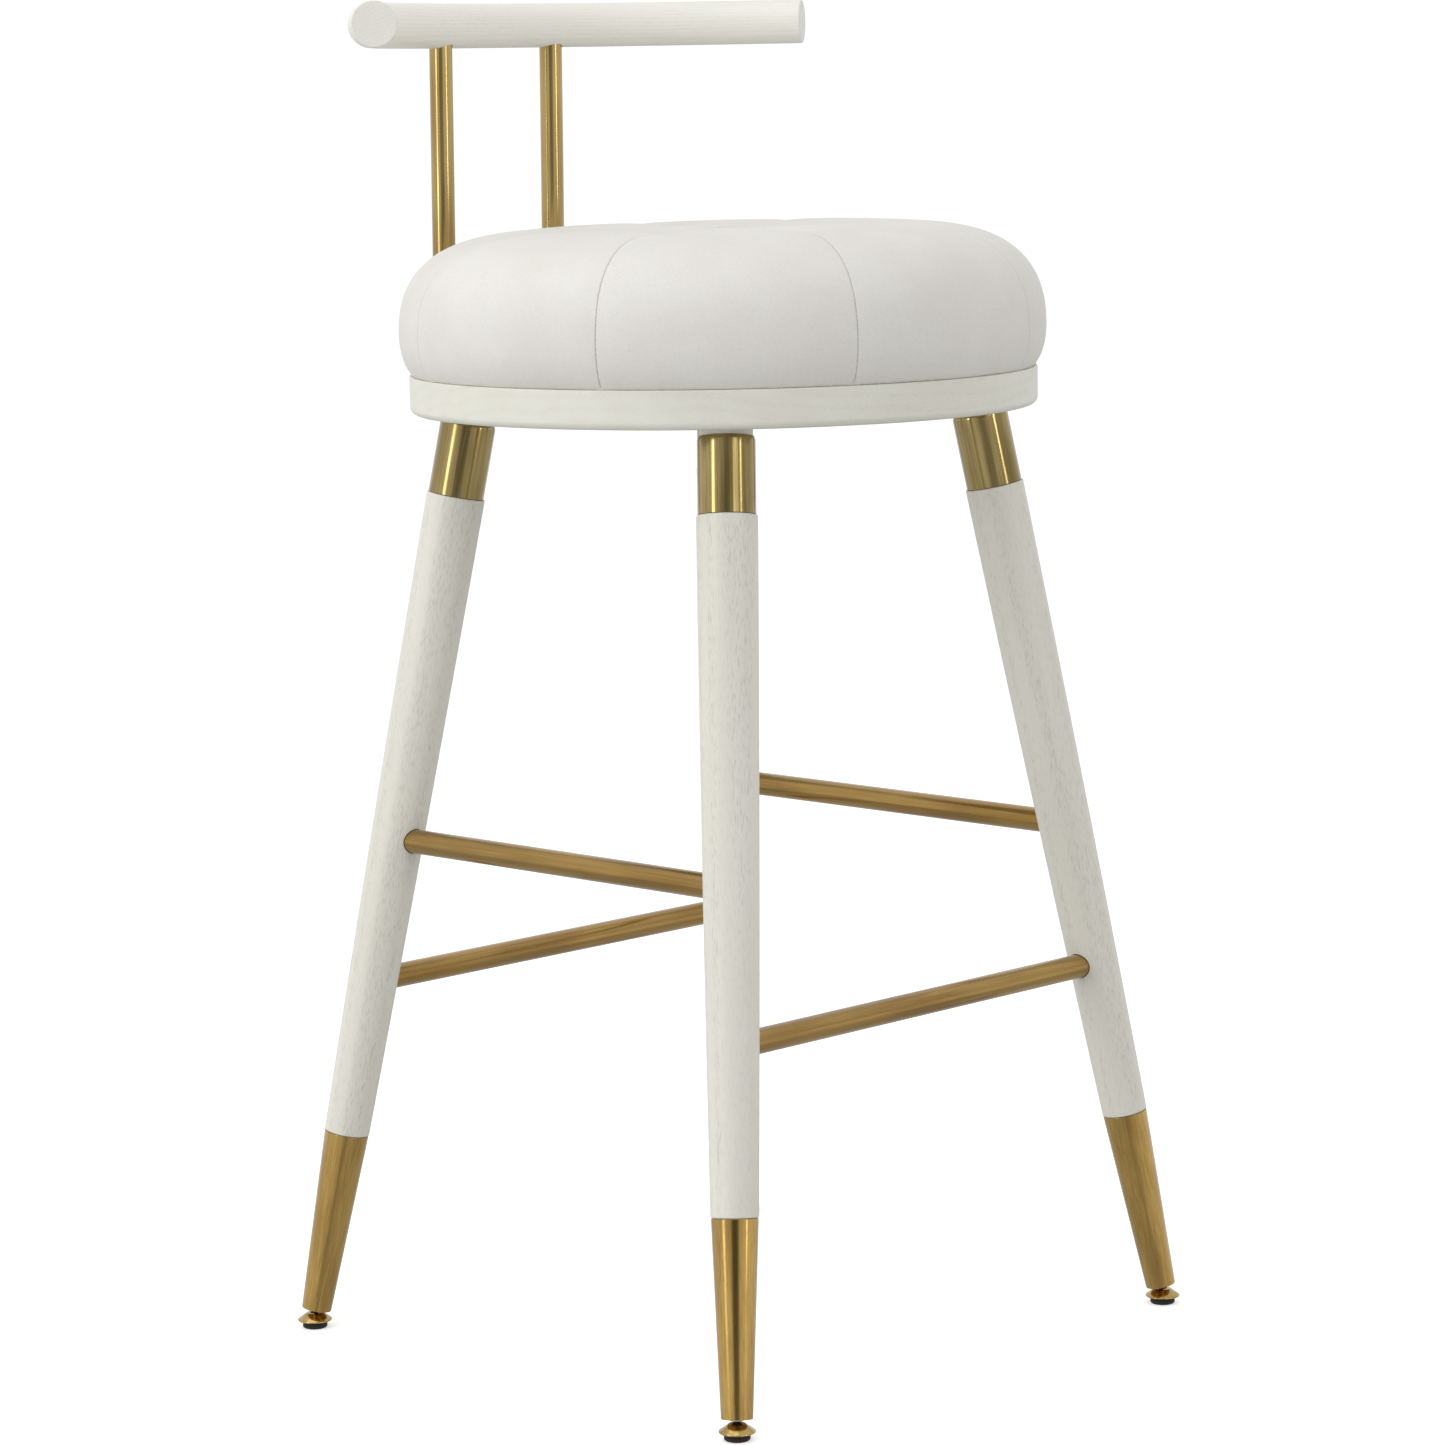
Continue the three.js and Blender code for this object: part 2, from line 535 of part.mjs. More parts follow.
function seatBase() {
  const profile = [
    [0, SEAT_BASE_UNDERSIDE],
    ...arcPoints(SEAT_BASE_RADIUS - SEAT_BASE_EDGE_ROUND, SEAT_BASE_UNDERSIDE + SEAT_BASE_EDGE_ROUND,
      SEAT_BASE_EDGE_ROUND, -Math.PI / 2, 0, 2),
    [SEAT_BASE_RADIUS, seatBaseTop - SEAT_BASE_TOP_EDGE],
    [SEAT_BASE_RADIUS - SEAT_BASE_TOP_EDGE, seatBaseTop], [0, seatBaseTop],
  ];
  const underside = alongLeg(SEAT_BASE_UNDERSIDE);
  const cutters = [];
  for (const corner of corners) {
    const toStool = legFrame(corner).matrix;
    const socket = cylinder(holeRadius(tenonRadius, LEG_SIDES), underside - LEG_TENON_DIAMETER,
      underside + LEG_SOCKET_DEPTH, LEG_SIDES);
    const shaftHole = cylinder(holeRadius(LEG_BOLT_RADIUS, HARDWARE_SIDES), underside,
      boltHeadSeat, HARDWARE_SIDES);
    const headHole = cylinder(holeRadius(LEG_BOLT_HEAD_RADIUS, HARDWARE_SIDES), boltHeadSeat - FIT,
      boltHeadSeat + SEAT_BASE_THICKNESS, HARDWARE_SIDES);
    cutters.push(...[socket, shaftHole, headHole].map((tool) => tool.applyMatrix4(toStool)));
  }
  for (const screw of seatScrews) {
    const hole = cylinder(screwHole, SEAT_BASE_UNDERSIDE - OVERCUT, seatBaseTop + OVERCUT, HARDWARE_SIDES);
    cutters.push(hole.translate(screw.x, screw.y, 0));
  }
  for (const screw of plateScrews) {
    const hole = cylinder(screwHole, SEAT_BASE_UNDERSIDE - OVERCUT,
      SEAT_BASE_UNDERSIDE + PLATE_SCREW_BITE + FIT, HARDWARE_SIDES);
    cutters.push(hole.translate(screw.x, screw.y, 0));
  }
  return cutFrom(turned(profile, SEAT_SIDES), ...cutters);
}

add(stool, "seat_base", seatBase(), finishes.paintedWood);
for (const corner of corners) {
  const frame = legFrame(corner);
  stool.add(frame);
  add(frame, `leg_bolt_${corner.name}`, legBolt(), finishes.steel);
}

// ---- Cushion: board, foam and cover ----

// The outline of the cushion's side and top, from its foot to the middle of its top, all of it
// inset by the same distance. Below the bulge it is a quarter round, and above it a squarer one.
function cushionOutline(inset) {
  const lowerSteps = 2;
  const upperSteps = 6;
  const widest = cushionRadius - inset;
  const foot = cushionFootRadius - inset;
  const flatTop = cushionRadius - CUSHION_SHOULDER_WIDTH;
  const top = seatBaseTop + CUSHION_HEIGHT - inset;
  const bulge = seatBaseTop + CUSHION_BULGE_HEIGHT;
  const bottom = seatBaseTop + inset;
  const points = [];
  for (let step = 0; step < lowerSteps; step += 1) {
    const angle = (Math.PI / 2) * (step / lowerSteps);
    points.push([foot + (widest - foot) * Math.sin(angle), bulge - (bulge - bottom) * Math.cos(angle)]);
  }
  for (let step = 0; step <= upperSteps; step += 1) {
    const angle = (Math.PI / 2) * (step / upperSteps);
    const across = Math.abs(Math.cos(angle)) ** (2 / CUSHION_SHOULDER_POWER);
    const up = Math.sin(angle) ** (2 / CUSHION_SHOULDER_POWER);
    points.push([flatTop + (widest - flatTop) * across, bulge + (top - bulge) * up]);
  }
  points.push([0, top]);
  return points;
}

function cushionCover() {
  const inner = cushionOutline(COVER_THICKNESS).reverse();
  const outer = cushionOutline(0);
  const turnedIn = cushionFootRadius - COVER_TURN_IN;
  return turned([...inner, [turnedIn, seatBoardBottom], [turnedIn, seatBaseTop], ...outer], SEAT_SIDES);
}

function cushionFoam() {
  const outline = cushionOutline(COVER_THICKNESS + FIT);
  const aboveBoard = outline.filter(([, height]) => height > seatBoardTop + FIT);
  return turned([[0, seatBoardTop], [cushionFootRadius, seatBoardTop], ...aboveBoard], SEAT_SIDES);
}

function seatBoard() {
  const radius = cushionFootRadius - 2 * COVER_THICKNESS;
  const cutters = seatScrews.map((screw) => {
    const top = seatBoardBottom + SEAT_SCREW_BITE + FIT;
    return cylinder(screwHole, seatBoardBottom - OVERCUT, top, HARDWARE_SIDES).translate(screw.x, screw.y, 0);
  });
  return cutFrom(cylinder(radius, seatBoardBottom, seatBoardTop, SEAT_SIDES), ...cutters);
}

add(stool, "seat_board", seatBoard(), finishes.plywood);
add(stool, "cushion_foam", cushionFoam(), finishes.foam);
add(stool, "cushion_cover", cushionCover(), finishes.cover);
for (const screw of seatScrews) {
  const mesh = add(stool, `seat_screw_${screw.name}`, woodScrew(seatScrewLength), finishes.steel);
  mesh.position.set(screw.x, screw.y, SEAT_BASE_UNDERSIDE);
}

// ---- Back: plate, posts and curved bar ----

// The rounded plate under the base, which the posts are welded to.
function backPlate() {
  const halfWidth = BACK_PLATE_WIDTH / 2;
  const round = BACK_PLATE_CORNER_RADIUS;
  const outline = new THREE.Shape();
  outline.absarc(halfWidth - round, plateBack - round, round, 0, Math.PI / 2);
  outline.absarc(round - halfWidth, plateBack - round, round, Math.PI / 2, Math.PI);
  outline.absarc(round - halfWidth, plateFront + round, round, Math.PI, 1.5 * Math.PI);
  outline.absarc(halfWidth - round, plateFront + round, round, 1.5 * Math.PI, 2 * Math.PI);
  for (const screw of plateScrews) {
    const hole = new THREE.Path();
    hole.absarc(screw.x, screw.y, screwHole, 0, 2 * Math.PI);
    outline.holes.push(hole);
  }
  const plate = new THREE.ExtrudeGeometry(outline, {
    depth: BACK_PLATE_THICKNESS, bevelEnabled: false, curveSegments: 4,
  });
  return plate.translate(0, 0, plateBottom);
}

add(stool, "back_plate", backPlate(), finishes.brass);
for (const screw of plateScrews) {
  const length = BACK_PLATE_THICKNESS + PLATE_SCREW_BITE;
  const mesh = add(stool, `back_plate_screw_${screw.name}`, woodScrew(length), finishes.steel);
  mesh.position.set(screw.x, screw.y, plateBottom);
}

// The middle line of the bar: part of a circle in plan, with its hollow side to the front.
class BackBarLine extends THREE.Curve {
  getPoint(share, target = new THREE.Vector3()) {
    const angle = THREE.MathUtils.lerp(-BACK_BAR_HALF_ANGLE, BACK_BAR_HALF_ANGLE, share);
    const x = BACK_BAR_CURVE_RADIUS * Math.sin(angle);
    const y = backBarCentreY + BACK_BAR_CURVE_RADIUS * Math.cos(angle);
    return target.set(x, y, backBarHeight);
  }
}

// A frame at a post's foot, with Z up the post.
function postFrame(side) {
  const frame = new THREE.Group();
  frame.position.set(side * postX, postY, SEAT_BASE_UNDERSIDE);
  frame.rotation.x = POST_LEAN;
  frame.updateMatrix();
  return frame;
}

const backBarHeight = seatBaseTop + CUSHION_HEIGHT + BACK_BAR_ABOVE_CUSHION;
const postTopY = postY - (backBarHeight - SEAT_BASE_UNDERSIDE) * Math.tan(POST_LEAN);
const backBarCentreY = postTopY - Math.sqrt(BACK_BAR_CURVE_RADIUS ** 2 - postX ** 2);
const backBarBottom = backBarHeight - BACK_BAR_DIAMETER / 2;
const postLength = (backBarBottom + POST_DEPTH_IN_BAR - SEAT_BASE_UNDERSIDE) / Math.cos(POST_LEAN);
const postStart = FIT + postRadius * Math.sin(POST_LEAN);

const postHoles = [];
for (const side of [-1, 1]) {
  const frame = postFrame(side);
  stool.add(frame);
  const name = side < 0 ? "back_post_left" : "back_post_right";
  const tube = sleeve(postRadius, postRadius - POST_WALL, postStart, postLength, LEG_SIDES);
  add(frame, name, tube, finishes.brass);
  const hole = cylinder(holeRadius(postRadius, LEG_SIDES), postLength - BACK_BAR_DIAMETER,
    postLength + FIT, LEG_SIDES);
  postHoles.push(hole.applyMatrix4(frame.matrix));
}

const barSection = new THREE.Shape();
barSection.absarc(0, 0, BACK_BAR_DIAMETER / 2, 0, 2 * Math.PI);
const backBar = new THREE.ExtrudeGeometry(barSection, {
  extrudePath: new BackBarLine(), steps: 18, curveSegments: 8, bevelEnabled: false,
});
add(stool, "back_bar", cutFrom(backBar, ...postHoles), finishes.paintedWood);

// ---- Origin on the floor, under the middle of the overall box ----

stool.updateMatrixWorld(true);
const overall = new THREE.Box3().setFromObject(stool, true);
const middle = overall.getCenter(new THREE.Vector3());
stool.position.set(-middle.x, -middle.y, -overall.min.z);

export default stool;
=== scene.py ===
import math

import bpy
from mathutils import Matrix, Vector


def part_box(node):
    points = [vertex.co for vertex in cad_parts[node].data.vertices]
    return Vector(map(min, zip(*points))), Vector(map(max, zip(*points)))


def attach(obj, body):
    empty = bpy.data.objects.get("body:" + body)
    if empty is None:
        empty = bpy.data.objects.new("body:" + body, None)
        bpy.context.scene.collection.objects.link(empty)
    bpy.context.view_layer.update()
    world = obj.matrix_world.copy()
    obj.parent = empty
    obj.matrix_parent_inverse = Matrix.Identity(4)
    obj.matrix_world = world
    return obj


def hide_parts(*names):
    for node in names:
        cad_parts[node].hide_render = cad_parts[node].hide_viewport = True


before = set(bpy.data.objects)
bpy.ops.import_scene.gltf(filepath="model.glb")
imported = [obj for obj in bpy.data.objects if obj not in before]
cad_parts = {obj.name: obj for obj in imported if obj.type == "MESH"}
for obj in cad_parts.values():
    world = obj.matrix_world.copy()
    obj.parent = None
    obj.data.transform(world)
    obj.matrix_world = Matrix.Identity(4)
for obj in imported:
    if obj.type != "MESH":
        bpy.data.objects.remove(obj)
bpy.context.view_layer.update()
bpy.ops.object.select_all(action="DESELECT")

# ---- Legs ----
# Four ash legs turned on a lathe to a slim swelling taper, with a spigot at the foot for the
# ferrule and a tenon at the head for the collar. They are sprayed off-white with a thin lacquer
# that leaves the open pores of the ash showing. The stretchers are let into bored sockets.
MM = 0.001
CORNERS = ("front_left", "front_right", "back_left", "back_right")
LEG_SIDES = 72
LEG_FOOT_RADIUS = 15.7 * MM
LEG_HEAD_RADIUS = 20.2 * MM
LEG_SWELL = 0.6 * MM
SPIGOT_FOOT_RADIUS = 8.85 * MM
SPIGOT_HEAD_RADIUS = 13.9 * MM
TENON_RADIUS = 17.5 * MM
TAPER_RINGS = 60
SHOULDER_EDGE = 0.9 * MM
FIT = 0.35 * MM
STRETCHER_RADIUS = 8.4 * MM
DRILL_SIDES = 64
DRILL_REACH = 40 * MM
SAME_POINT = 1e-6


def middle_of(node):
    low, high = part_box(node)
    return (low + high) / 2


def leg_place(corner):
    """The move that takes a piece stood upright on the floor to its slant along one leg."""
    upper = middle_of(f"collar_{corner}")
    lower = middle_of(f"foot_insert_{corner}")
    up = (upper - lower).normalized()
    foot = lower - up * (lower.z / up.z)
    turn = Vector((0, 0, 1)).rotation_difference(up)
    return Matrix.Translation(foot) @ turn.to_matrix().to_4x4()


def reach_along(place, node):
    """How far along its own axis a fixed piece starts and ends."""
    upright = place.inverted()
    heights = [(upright @ point.co).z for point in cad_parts[node].data.vertices]
    return min(heights), max(heights)


def pick_only(piece):
    bpy.ops.object.select_all(action="DESELECT")
    piece.select_set(True)
    bpy.context.view_layer.objects.active = piece


def open_mesh():
    """Starts to edit the piece in hand, with all its points picked."""
    bpy.ops.object.mode_set(mode="EDIT")
    bpy.ops.mesh.select_all(action="SELECT")


def close_mesh():
    """Turns every face outwards and stops editing."""
    bpy.ops.mesh.select_all(action="SELECT")
    bpy.ops.mesh.normals_make_consistent(inside=False)
    bpy.ops.object.mode_set(mode="OBJECT")


def apply_place():
    bpy.ops.object.transform_apply(location=True, rotation=True, scale=True)


def turned_piece(name, outline, sides):
    """Draws a ring of points up through an outline of (radius, height) points, as on a lathe.
    An outline that comes back to its start makes a sleeve, and any other is closed at its ends."""
    sleeve = outline[0] == outline[-1]
    bpy.ops.object.select_all(action="DESELECT")
    radius, height = outline[0]
    bpy.ops.mesh.primitive_circle_add(vertices=sides, radius=radius, location=(0, 0, height),
                                      fill_type="NOTHING" if sleeve else "NGON")
    piece = bpy.context.object
    piece.name = piece.data.name = name
    open_mesh()
    for next_radius, next_height in outline[1:]:
        rise = {"value": (0, 0, next_height - height)}
        bpy.ops.mesh.extrude_region_move(TRANSFORM_OT_translate=rise)
        grow = next_radius / radius
        if abs(grow - 1) > SAME_POINT:
            bpy.ops.transform.resize(value=(grow, grow, 1), center_override=(0, 0, next_height))
        radius, height = next_radius, next_height
    bpy.ops.mesh.select_all(action="SELECT")
    if sleeve:
        bpy.ops.mesh.remove_doubles(threshold=SAME_POINT)
    close_mesh()
    apply_place()
    return piece


def apply_modifier(piece, kind, **settings):
    pick_only(piece)
    bpy.ops.object.modifier_add(type=kind)
    modifier = piece.modifiers[-1]
    for key, value in settings.items():
        setattr(modifier, key, value)
    bpy.ops.object.modifier_apply(modifier=modifier.name)


def round_edges(piece, width, segments=3, sharper_than=32):
    apply_modifier(piece, "BEVEL", width=width, segments=segments, limit_method="ANGLE",
                   angle_limit=math.radians(sharper_than))


def soften(piece, width, segments=3, smooth_to=40):
    """Breaks the sharp edges by a small round and shades the round faces smoothly."""
    if width:
        round_edges(piece, width, segments)
    pick_only(piece)
    bpy.ops.object.shade_smooth_by_angle(angle=math.radians(smooth_to))
    apply_modifier(piece, "WEIGHTED_NORMAL", keep_sharp=True, weight=50)


def set_in_place(piece, place):
    """Moves a finished piece to its place and leaves its object at the origin."""
    piece.matrix_world = place @ piece.matrix_world
    pick_only(piece)
    apply_place()
    return piece


def copy_of(piece, name):
    twin = piece.copy()
    twin.data = piece.data.copy()
    twin.name = twin.data.name = name
    bpy.context.scene.collection.objects.link(twin)
    return twin


def mark_run(piece, place, shift=Vector((0, 0, 0))):
    """Stores how each point lay on the bench: x and y across the grain or draw, z along it."""
    upright = place.inverted()
    run = piece.data.attributes.new("run", "FLOAT_VECTOR", "POINT")
    for point, mark in zip(piece.data.vertices, run.data):
        mark.vector = (upright @ point.co) + shift


def bore(piece, start, end, radius):
    """Drills a round hole from one point to another."""
    along = end - start
    turn = along.to_track_quat("Z", "Y").to_euler()
    bpy.ops.mesh.primitive_cylinder_add(vertices=DRILL_SIDES, radius=radius, depth=along.length,
                                        location=(start + end) / 2, rotation=turn)
    drill = bpy.context.object
    apply_modifier(piece, "BOOLEAN", operation="DIFFERENCE", solver="EXACT", object=drill)
    bpy.data.objects.remove(drill)


def coat(piece, material):
    piece.data.materials.clear()
    piece.data.materials.append(material)


def give(piece, body, slot_name, material, *nodes):
    """Hands a finished piece to its body, with its finish, in place of its plain solids."""
    coat(piece, material)
    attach(piece, body)
    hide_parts(*nodes)


def paint(code):
    """An sRGB hex colour as the linear values that a shader takes."""
    channels = [int(code[start:start + 2], 16) / 255 for start in (1, 3, 5)]
    linear = [c / 12.92 if c <= 0.04045 else ((c + 0.055) / 1.055) ** 2.4 for c in channels]
    return (*linear, 1.0)


def join(node, links):
    """Joins a node's inputs to other nodes' outputs."""
    for key, output in links.items():
        node.id_data.links.new(output, node.inputs[key])


def add_node(tree, kind, settings, links=None, output=0):
    """Adds one node with its settings and its links, and gives the output asked for."""
    node = tree.nodes.new("ShaderNode" + kind)
    for key, value in settings.items():
        if isinstance(key, int) or key in node.inputs:
            node.inputs[key].default_value = value
        else:
            setattr(node, key, value)
    join(node, links or {})
    return node.outputs[output]


def new_material(name, **shader_settings):
    """A material with its shader's own sockets set. It gives the node tree and the shader."""
    material = bpy.data.materials.new(name)
    material.use_nodes = True
    shader = material.node_tree.nodes["Principled BSDF"]
    for key, value in shader_settings.items():
        shader.inputs[key.replace("_", " ")].default_value = value
    return material, material.node_tree, shader


def lacquered_ash(name, light, shade, pore_strength, ring_strength, ring_width):
    """Ash under a thin sprayed off-white lacquer. The large early-wood pores stay open, so fine
    grey dashes run along the grain, crowded where a growth ring meets the surface, and the
    lacquer sinks a little into each. It is satin, and a touch duller in the pores."""
    material, tree, shader = new_material(name, Metallic=0.0, IOR=1.48)
    run = add_node(tree, "Attribute", {"attribute_name": "run"}, output="Vector")
    # Growth rings round a pith 70 mm to one side, wandering slowly lengthways.
    off_pith = add_node(tree, "Mapping", {
        "Location": (0.03, 0.07, 0), "Scale": (1, 1, 0.06)}, {"Vector": run})
    rings = add_node(tree, "TexWave", {
        "wave_type": "RINGS", "rings_direction": "Z", "Scale": 0.314 / ring_width,
        "Distortion": 6.0, "Detail": 2.0, "Detail Scale": 0.6, "Detail Roughness": 0.5},
        {"Vector": off_pith}, output="Fac")
    early_wood = add_node(tree, "MapRange", {
        "interpolation_type": "SMOOTHSTEP", "From Min": 0.4, "From Max": 0.9,
        "To Min": 0.4, "To Max": 1.0}, {"Value": rings})
    # Pores are really 0.3 mm wide: they are drawn 0.7 mm wide and 6 mm long, so as to show.
    stretched = add_node(tree, "Mapping", {"Scale": (1400, 1400, 165)},
                         {"Vector": run})
    dashes = add_node(tree, "TexNoise", {
        "Scale": 1.0, "Detail": 1.5, "Roughness": 0.6}, {"Vector": stretched})
    pores = add_node(tree, "MapRange", {
        "interpolation_type": "SMOOTHSTEP", "From Min": 0.53, "From Max": 0.66},
        {"Value": dashes})
    open_pores = add_node(tree, "Math", {"operation": "MULTIPLY"},
                          {0: pores, 1: early_wood})
    # Broad tone changes about 25 mm across and 300 mm long.
    broad = add_node(tree, "Mapping", {"Scale": (40, 40, 3.3)},
                     {"Vector": run})
    tone = add_node(tree, "TexNoise", {"Scale": 1.0, "Detail": 3.0},
                    {"Vector": broad})
    even = add_node(tree, "MapRange", {"From Min": 0.3, "From Max": 0.7},
                    {"Value": tone})
    toned = add_node(tree, "Mix", {
        "data_type": "RGBA", 6: paint(light), 7: paint(shade)}, {0: even}, output=2)
    # The late wood is a shade greyer, and shows as fine lines on a sawn end.
    late_wood = add_node(tree, "MapRange", {
        "From Min": 0.55, "From Max": 1.0, "To Min": 0.0, "To Max": ring_strength},
        {"Value": rings})
    body = add_node(tree, "Mix", {
        "data_type": "RGBA", 7: paint("#A9A698")}, {0: late_wood, 6: toned}, output=2)
    amount = add_node(tree, "Math", {"operation": "MULTIPLY", 1: pore_strength},
                      {0: open_pores})
    colour = add_node(tree, "Mix", {
        "data_type": "RGBA", 7: paint("#878782")}, {0: amount, 6: body}, output=2)
    dull = add_node(tree, "MapRange", {"To Min": 0.40, "To Max": 0.62},
                    {"Value": open_pores})
    # Spray texture about 1.5 mm across, far shallower than the pores.
    spray = add_node(tree, "TexNoise", {"Scale": 650.0, "Detail": 2.0},
                     {"Vector": run})
    sunk = add_node(tree, "Math", {"operation": "MULTIPLY_ADD", 1: -2.2},
                    {0: open_pores, 2: spray})
    relief = add_node(tree, "Bump", {"Strength": 0.35, "Distance": 0.12 * MM},
                      {"Height": sunk})
    join(shader, {"Base Color": colour, "Roughness": dull, "Normal": relief})
    return material


leg_ash = lacquered_ash("lacquered_ash_legs", "#E9E7DD", "#E1DED2", 0.24, 0.03, 11 * MM)
places = {corner: leg_place(corner) for corner in CORNERS}
first_place = places[CORNERS[0]]
leg_low, leg_high = reach_along(first_place, "leg_front_left")
ferrule_low, ferrule_high = reach_along(first_place, "ferrule_front_left")
collar_low, collar_high = reach_along(first_place, "collar_front_left")
taper_low, taper_high = ferrule_high + FIT, collar_low - FIT
leg_outline = [(SPIGOT_FOOT_RADIUS, leg_low), (SPIGOT_HEAD_RADIUS, taper_low)]
for ring in range(TAPER_RINGS + 1):
    share = ring / TAPER_RINGS
    straight = LEG_FOOT_RADIUS + (LEG_HEAD_RADIUS - LEG_FOOT_RADIUS) * share
    swell = 4 * LEG_SWELL * share * (1 - share)
    leg_outline.append((straight + swell, taper_low + (taper_high - taper_low) * share))
leg_outline += [(TENON_RADIUS, taper_high), (TENON_RADIUS, leg_high)]
turned_leg = turned_piece("turned_leg", leg_outline, LEG_SIDES)
round_edges(turned_leg, SHOULDER_EDGE)
for number, corner in enumerate(CORNERS):
    leg = set_in_place(copy_of(turned_leg, f"ash_leg_{corner}"), places[corner])
    end_side, side_side = corner.split("_")
    for rail, axis, positive in ((f"stretcher_{side_side}", 1, end_side == "back"),
                                 (f"stretcher_{end_side}", 0, side_side == "right")):
        socket_end = middle_of(rail)
        socket_end[axis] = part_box(rail)[1 if positive else 0][axis] + (FIT if positive else -FIT)
        mouth = socket_end.copy()
        mouth[axis] -= DRILL_REACH if positive else -DRILL_REACH
        bore(leg, mouth, socket_end, STRETCHER_RADIUS + FIT)
    soften(leg, 0, smooth_to=35)
    mark_run(leg, places[corner], Vector((0.011, 0.006, 0.37)) * number)
    give(leg, "stool", "painted_wood", leg_ash, f"leg_{corner}")
bpy.data.objects.remove(turned_leg)

# ---- Collars, ferrules and threaded inserts ----
# A straight brass sleeve round each tenon and a tapered brass cup on each foot, turned from
# tube, brushed lengthways to a satin and clear lacquered. They are pushed on and glued. The
# zinc-plated steel inserts that take the bolts are screwed into the leg ends and stay hidden.
COLLAR_RADIUS = 19.2 * MM
COLLAR_BORE = 17.75 * MM
COLLAR_CHAMFER_HEIGHT = 2.6 * MM
COLLAR_CHAMFER_WIDTH = 0.8 * MM
COLLAR_EDGE = 0.25 * MM
FERRULE_EDGE = 0.3 * MM
FERRULE_HEAD_RADIUS = 15.45 * MM
FERRULE_FOOT_RADIUS = 10.4 * MM
FERRULE_WALL = 1.2 * MM
FERRULE_HOLE = 4.3 * MM
BRASS_SIDES = 96


def satin_brass(name, colour, deep, smooth, rough, brush_mm):
    """Turned or drawn brass brushed lengthways to a satin under clear lacquer. The brush lines
    make reflections streak along the piece, and slight changes of tone warm some of them."""
    material, tree, shader = new_material(name, Metallic=1.0, Coat_Weight=0.7, Coat_Roughness=0.08)
    run = add_node(tree, "Attribute", {"attribute_name": "run"}, output="Vector")
    # Real brush lines are under 0.1 mm apart: these are drawn as wide as they need to show.
    lines = 1000 / brush_mm
    stretched = add_node(tree, "Mapping", {"Scale": (lines, lines, lines / 70)},
                         {"Vector": run})
    brushed = add_node(tree, "TexNoise", {
        "Scale": 1.0, "Detail": 3.0, "Roughness": 0.7}, {"Vector": stretched})
    # Handling leaves cloudy patches about 20 mm across and 90 mm long in the sheen.
    clouds = add_node(tree, "Mapping", {"Scale": (50, 50, 11)},
                      {"Vector": run})
    cloudy = add_node(tree, "TexNoise", {"Scale": 1.0, "Detail": 2.0},
                      {"Vector": clouds})
    both = add_node(tree, "Math", {"operation": "ADD"},
                    {0: brushed, 1: cloudy})
    warmth = add_node(tree, "MapRange", {"From Min": 0.84, "From Max": 1.18},
                      {"Value": both})
    tone = add_node(tree, "Mix", {
        "data_type": "RGBA", 6: paint(colour), 7: paint(deep)}, {0: warmth}, output=2)
    sheen = add_node(tree, "MapRange", {
        "From Min": 0.75, "From Max": 1.25, "To Min": smooth, "To Max": rough},
        {"Value": both})
    relief = add_node(tree, "Bump", {"Strength": 0.16, "Distance": 0.02 * MM},
                      {"Height": brushed})
    join(shader, {"Base Color": tone, "Roughness": sheen, "Normal": relief})
    return material


def zinc_plate(name):
    """Bright zinc plating on steel: cool and bright, faintly blotched by the plating bath."""
    material, tree, shader = new_material(name, Metallic=1.0)
    where = add_node(tree, "TexCoord", {}, output="Object")
    blotches = add_node(tree, "TexNoise", {"Scale": 420.0, "Detail": 3.0},
                        {"Vector": where})
    tone = add_node(tree, "Mix", {
        "data_type": "RGBA", 6: paint("#C9CCCF"), 7: paint("#A6A9AE")}, {0: blotches}, output=2)
    dull = add_node(tree, "MapRange", {"To Min": 0.2, "To Max": 0.42},
                    {"Value": blotches})
    join(shader, {"Base Color": tone, "Roughness": dull})
    return material


collar_brass = satin_brass("brushed_brass_collars", "#B29C64", "#8B7740", 0.10, 0.20, 0.9)
# The ferrules' brass is warmer than the collars', which is the metal's own tone. It is also set
# brighter, which is painted light for the dimmer light low down.
ferrule_brass = satin_brass("brushed_brass_ferrules", "#CCA85A", "#AA8742", 0.12, 0.24, 0.9)
zinc = zinc_plate("bright_zinc_plate")
collar_shape = turned_piece("collar_shape", [
    (COLLAR_BORE, collar_low), (COLLAR_RADIUS, collar_low),
    (COLLAR_RADIUS, collar_high - COLLAR_CHAMFER_HEIGHT),
    (COLLAR_RADIUS - COLLAR_CHAMFER_WIDTH, collar_high), (COLLAR_BORE, collar_high),
    (COLLAR_BORE, collar_low)], BRASS_SIDES)
soften(collar_shape, COLLAR_EDGE)
ferrule_shape = turned_piece("ferrule_shape", [
    (FERRULE_HOLE, ferrule_low), (FERRULE_FOOT_RADIUS, ferrule_low),
    (FERRULE_HEAD_RADIUS, ferrule_high), (FERRULE_HEAD_RADIUS - FERRULE_WALL, ferrule_high),
    (FERRULE_FOOT_RADIUS - FERRULE_WALL, ferrule_low + FERRULE_WALL),
    (FERRULE_HOLE, ferrule_low + FERRULE_WALL), (FERRULE_HOLE, ferrule_low)], BRASS_SIDES)
soften(ferrule_shape, FERRULE_EDGE)
for number, corner in enumerate(CORNERS):
    shift = Vector((0.05, 0.03, 0.2)) * number
    for shape, kind, brass in ((collar_shape, "collar", collar_brass),
                               (ferrule_shape, "ferrule", ferrule_brass)):
        ring = set_in_place(copy_of(shape, f"brass_{kind}_{corner}"), places[corner])
        mark_run(ring, places[corner], shift)
        give(ring, "stool", "satin_brass", brass, f"{kind}_{corner}")
    for kind in ("foot_insert", "head_insert"):
        coat(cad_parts[f"{kind}_{corner}"], zinc)
bpy.data.objects.remove(collar_shape)
bpy.data.objects.remove(ferrule_shape)

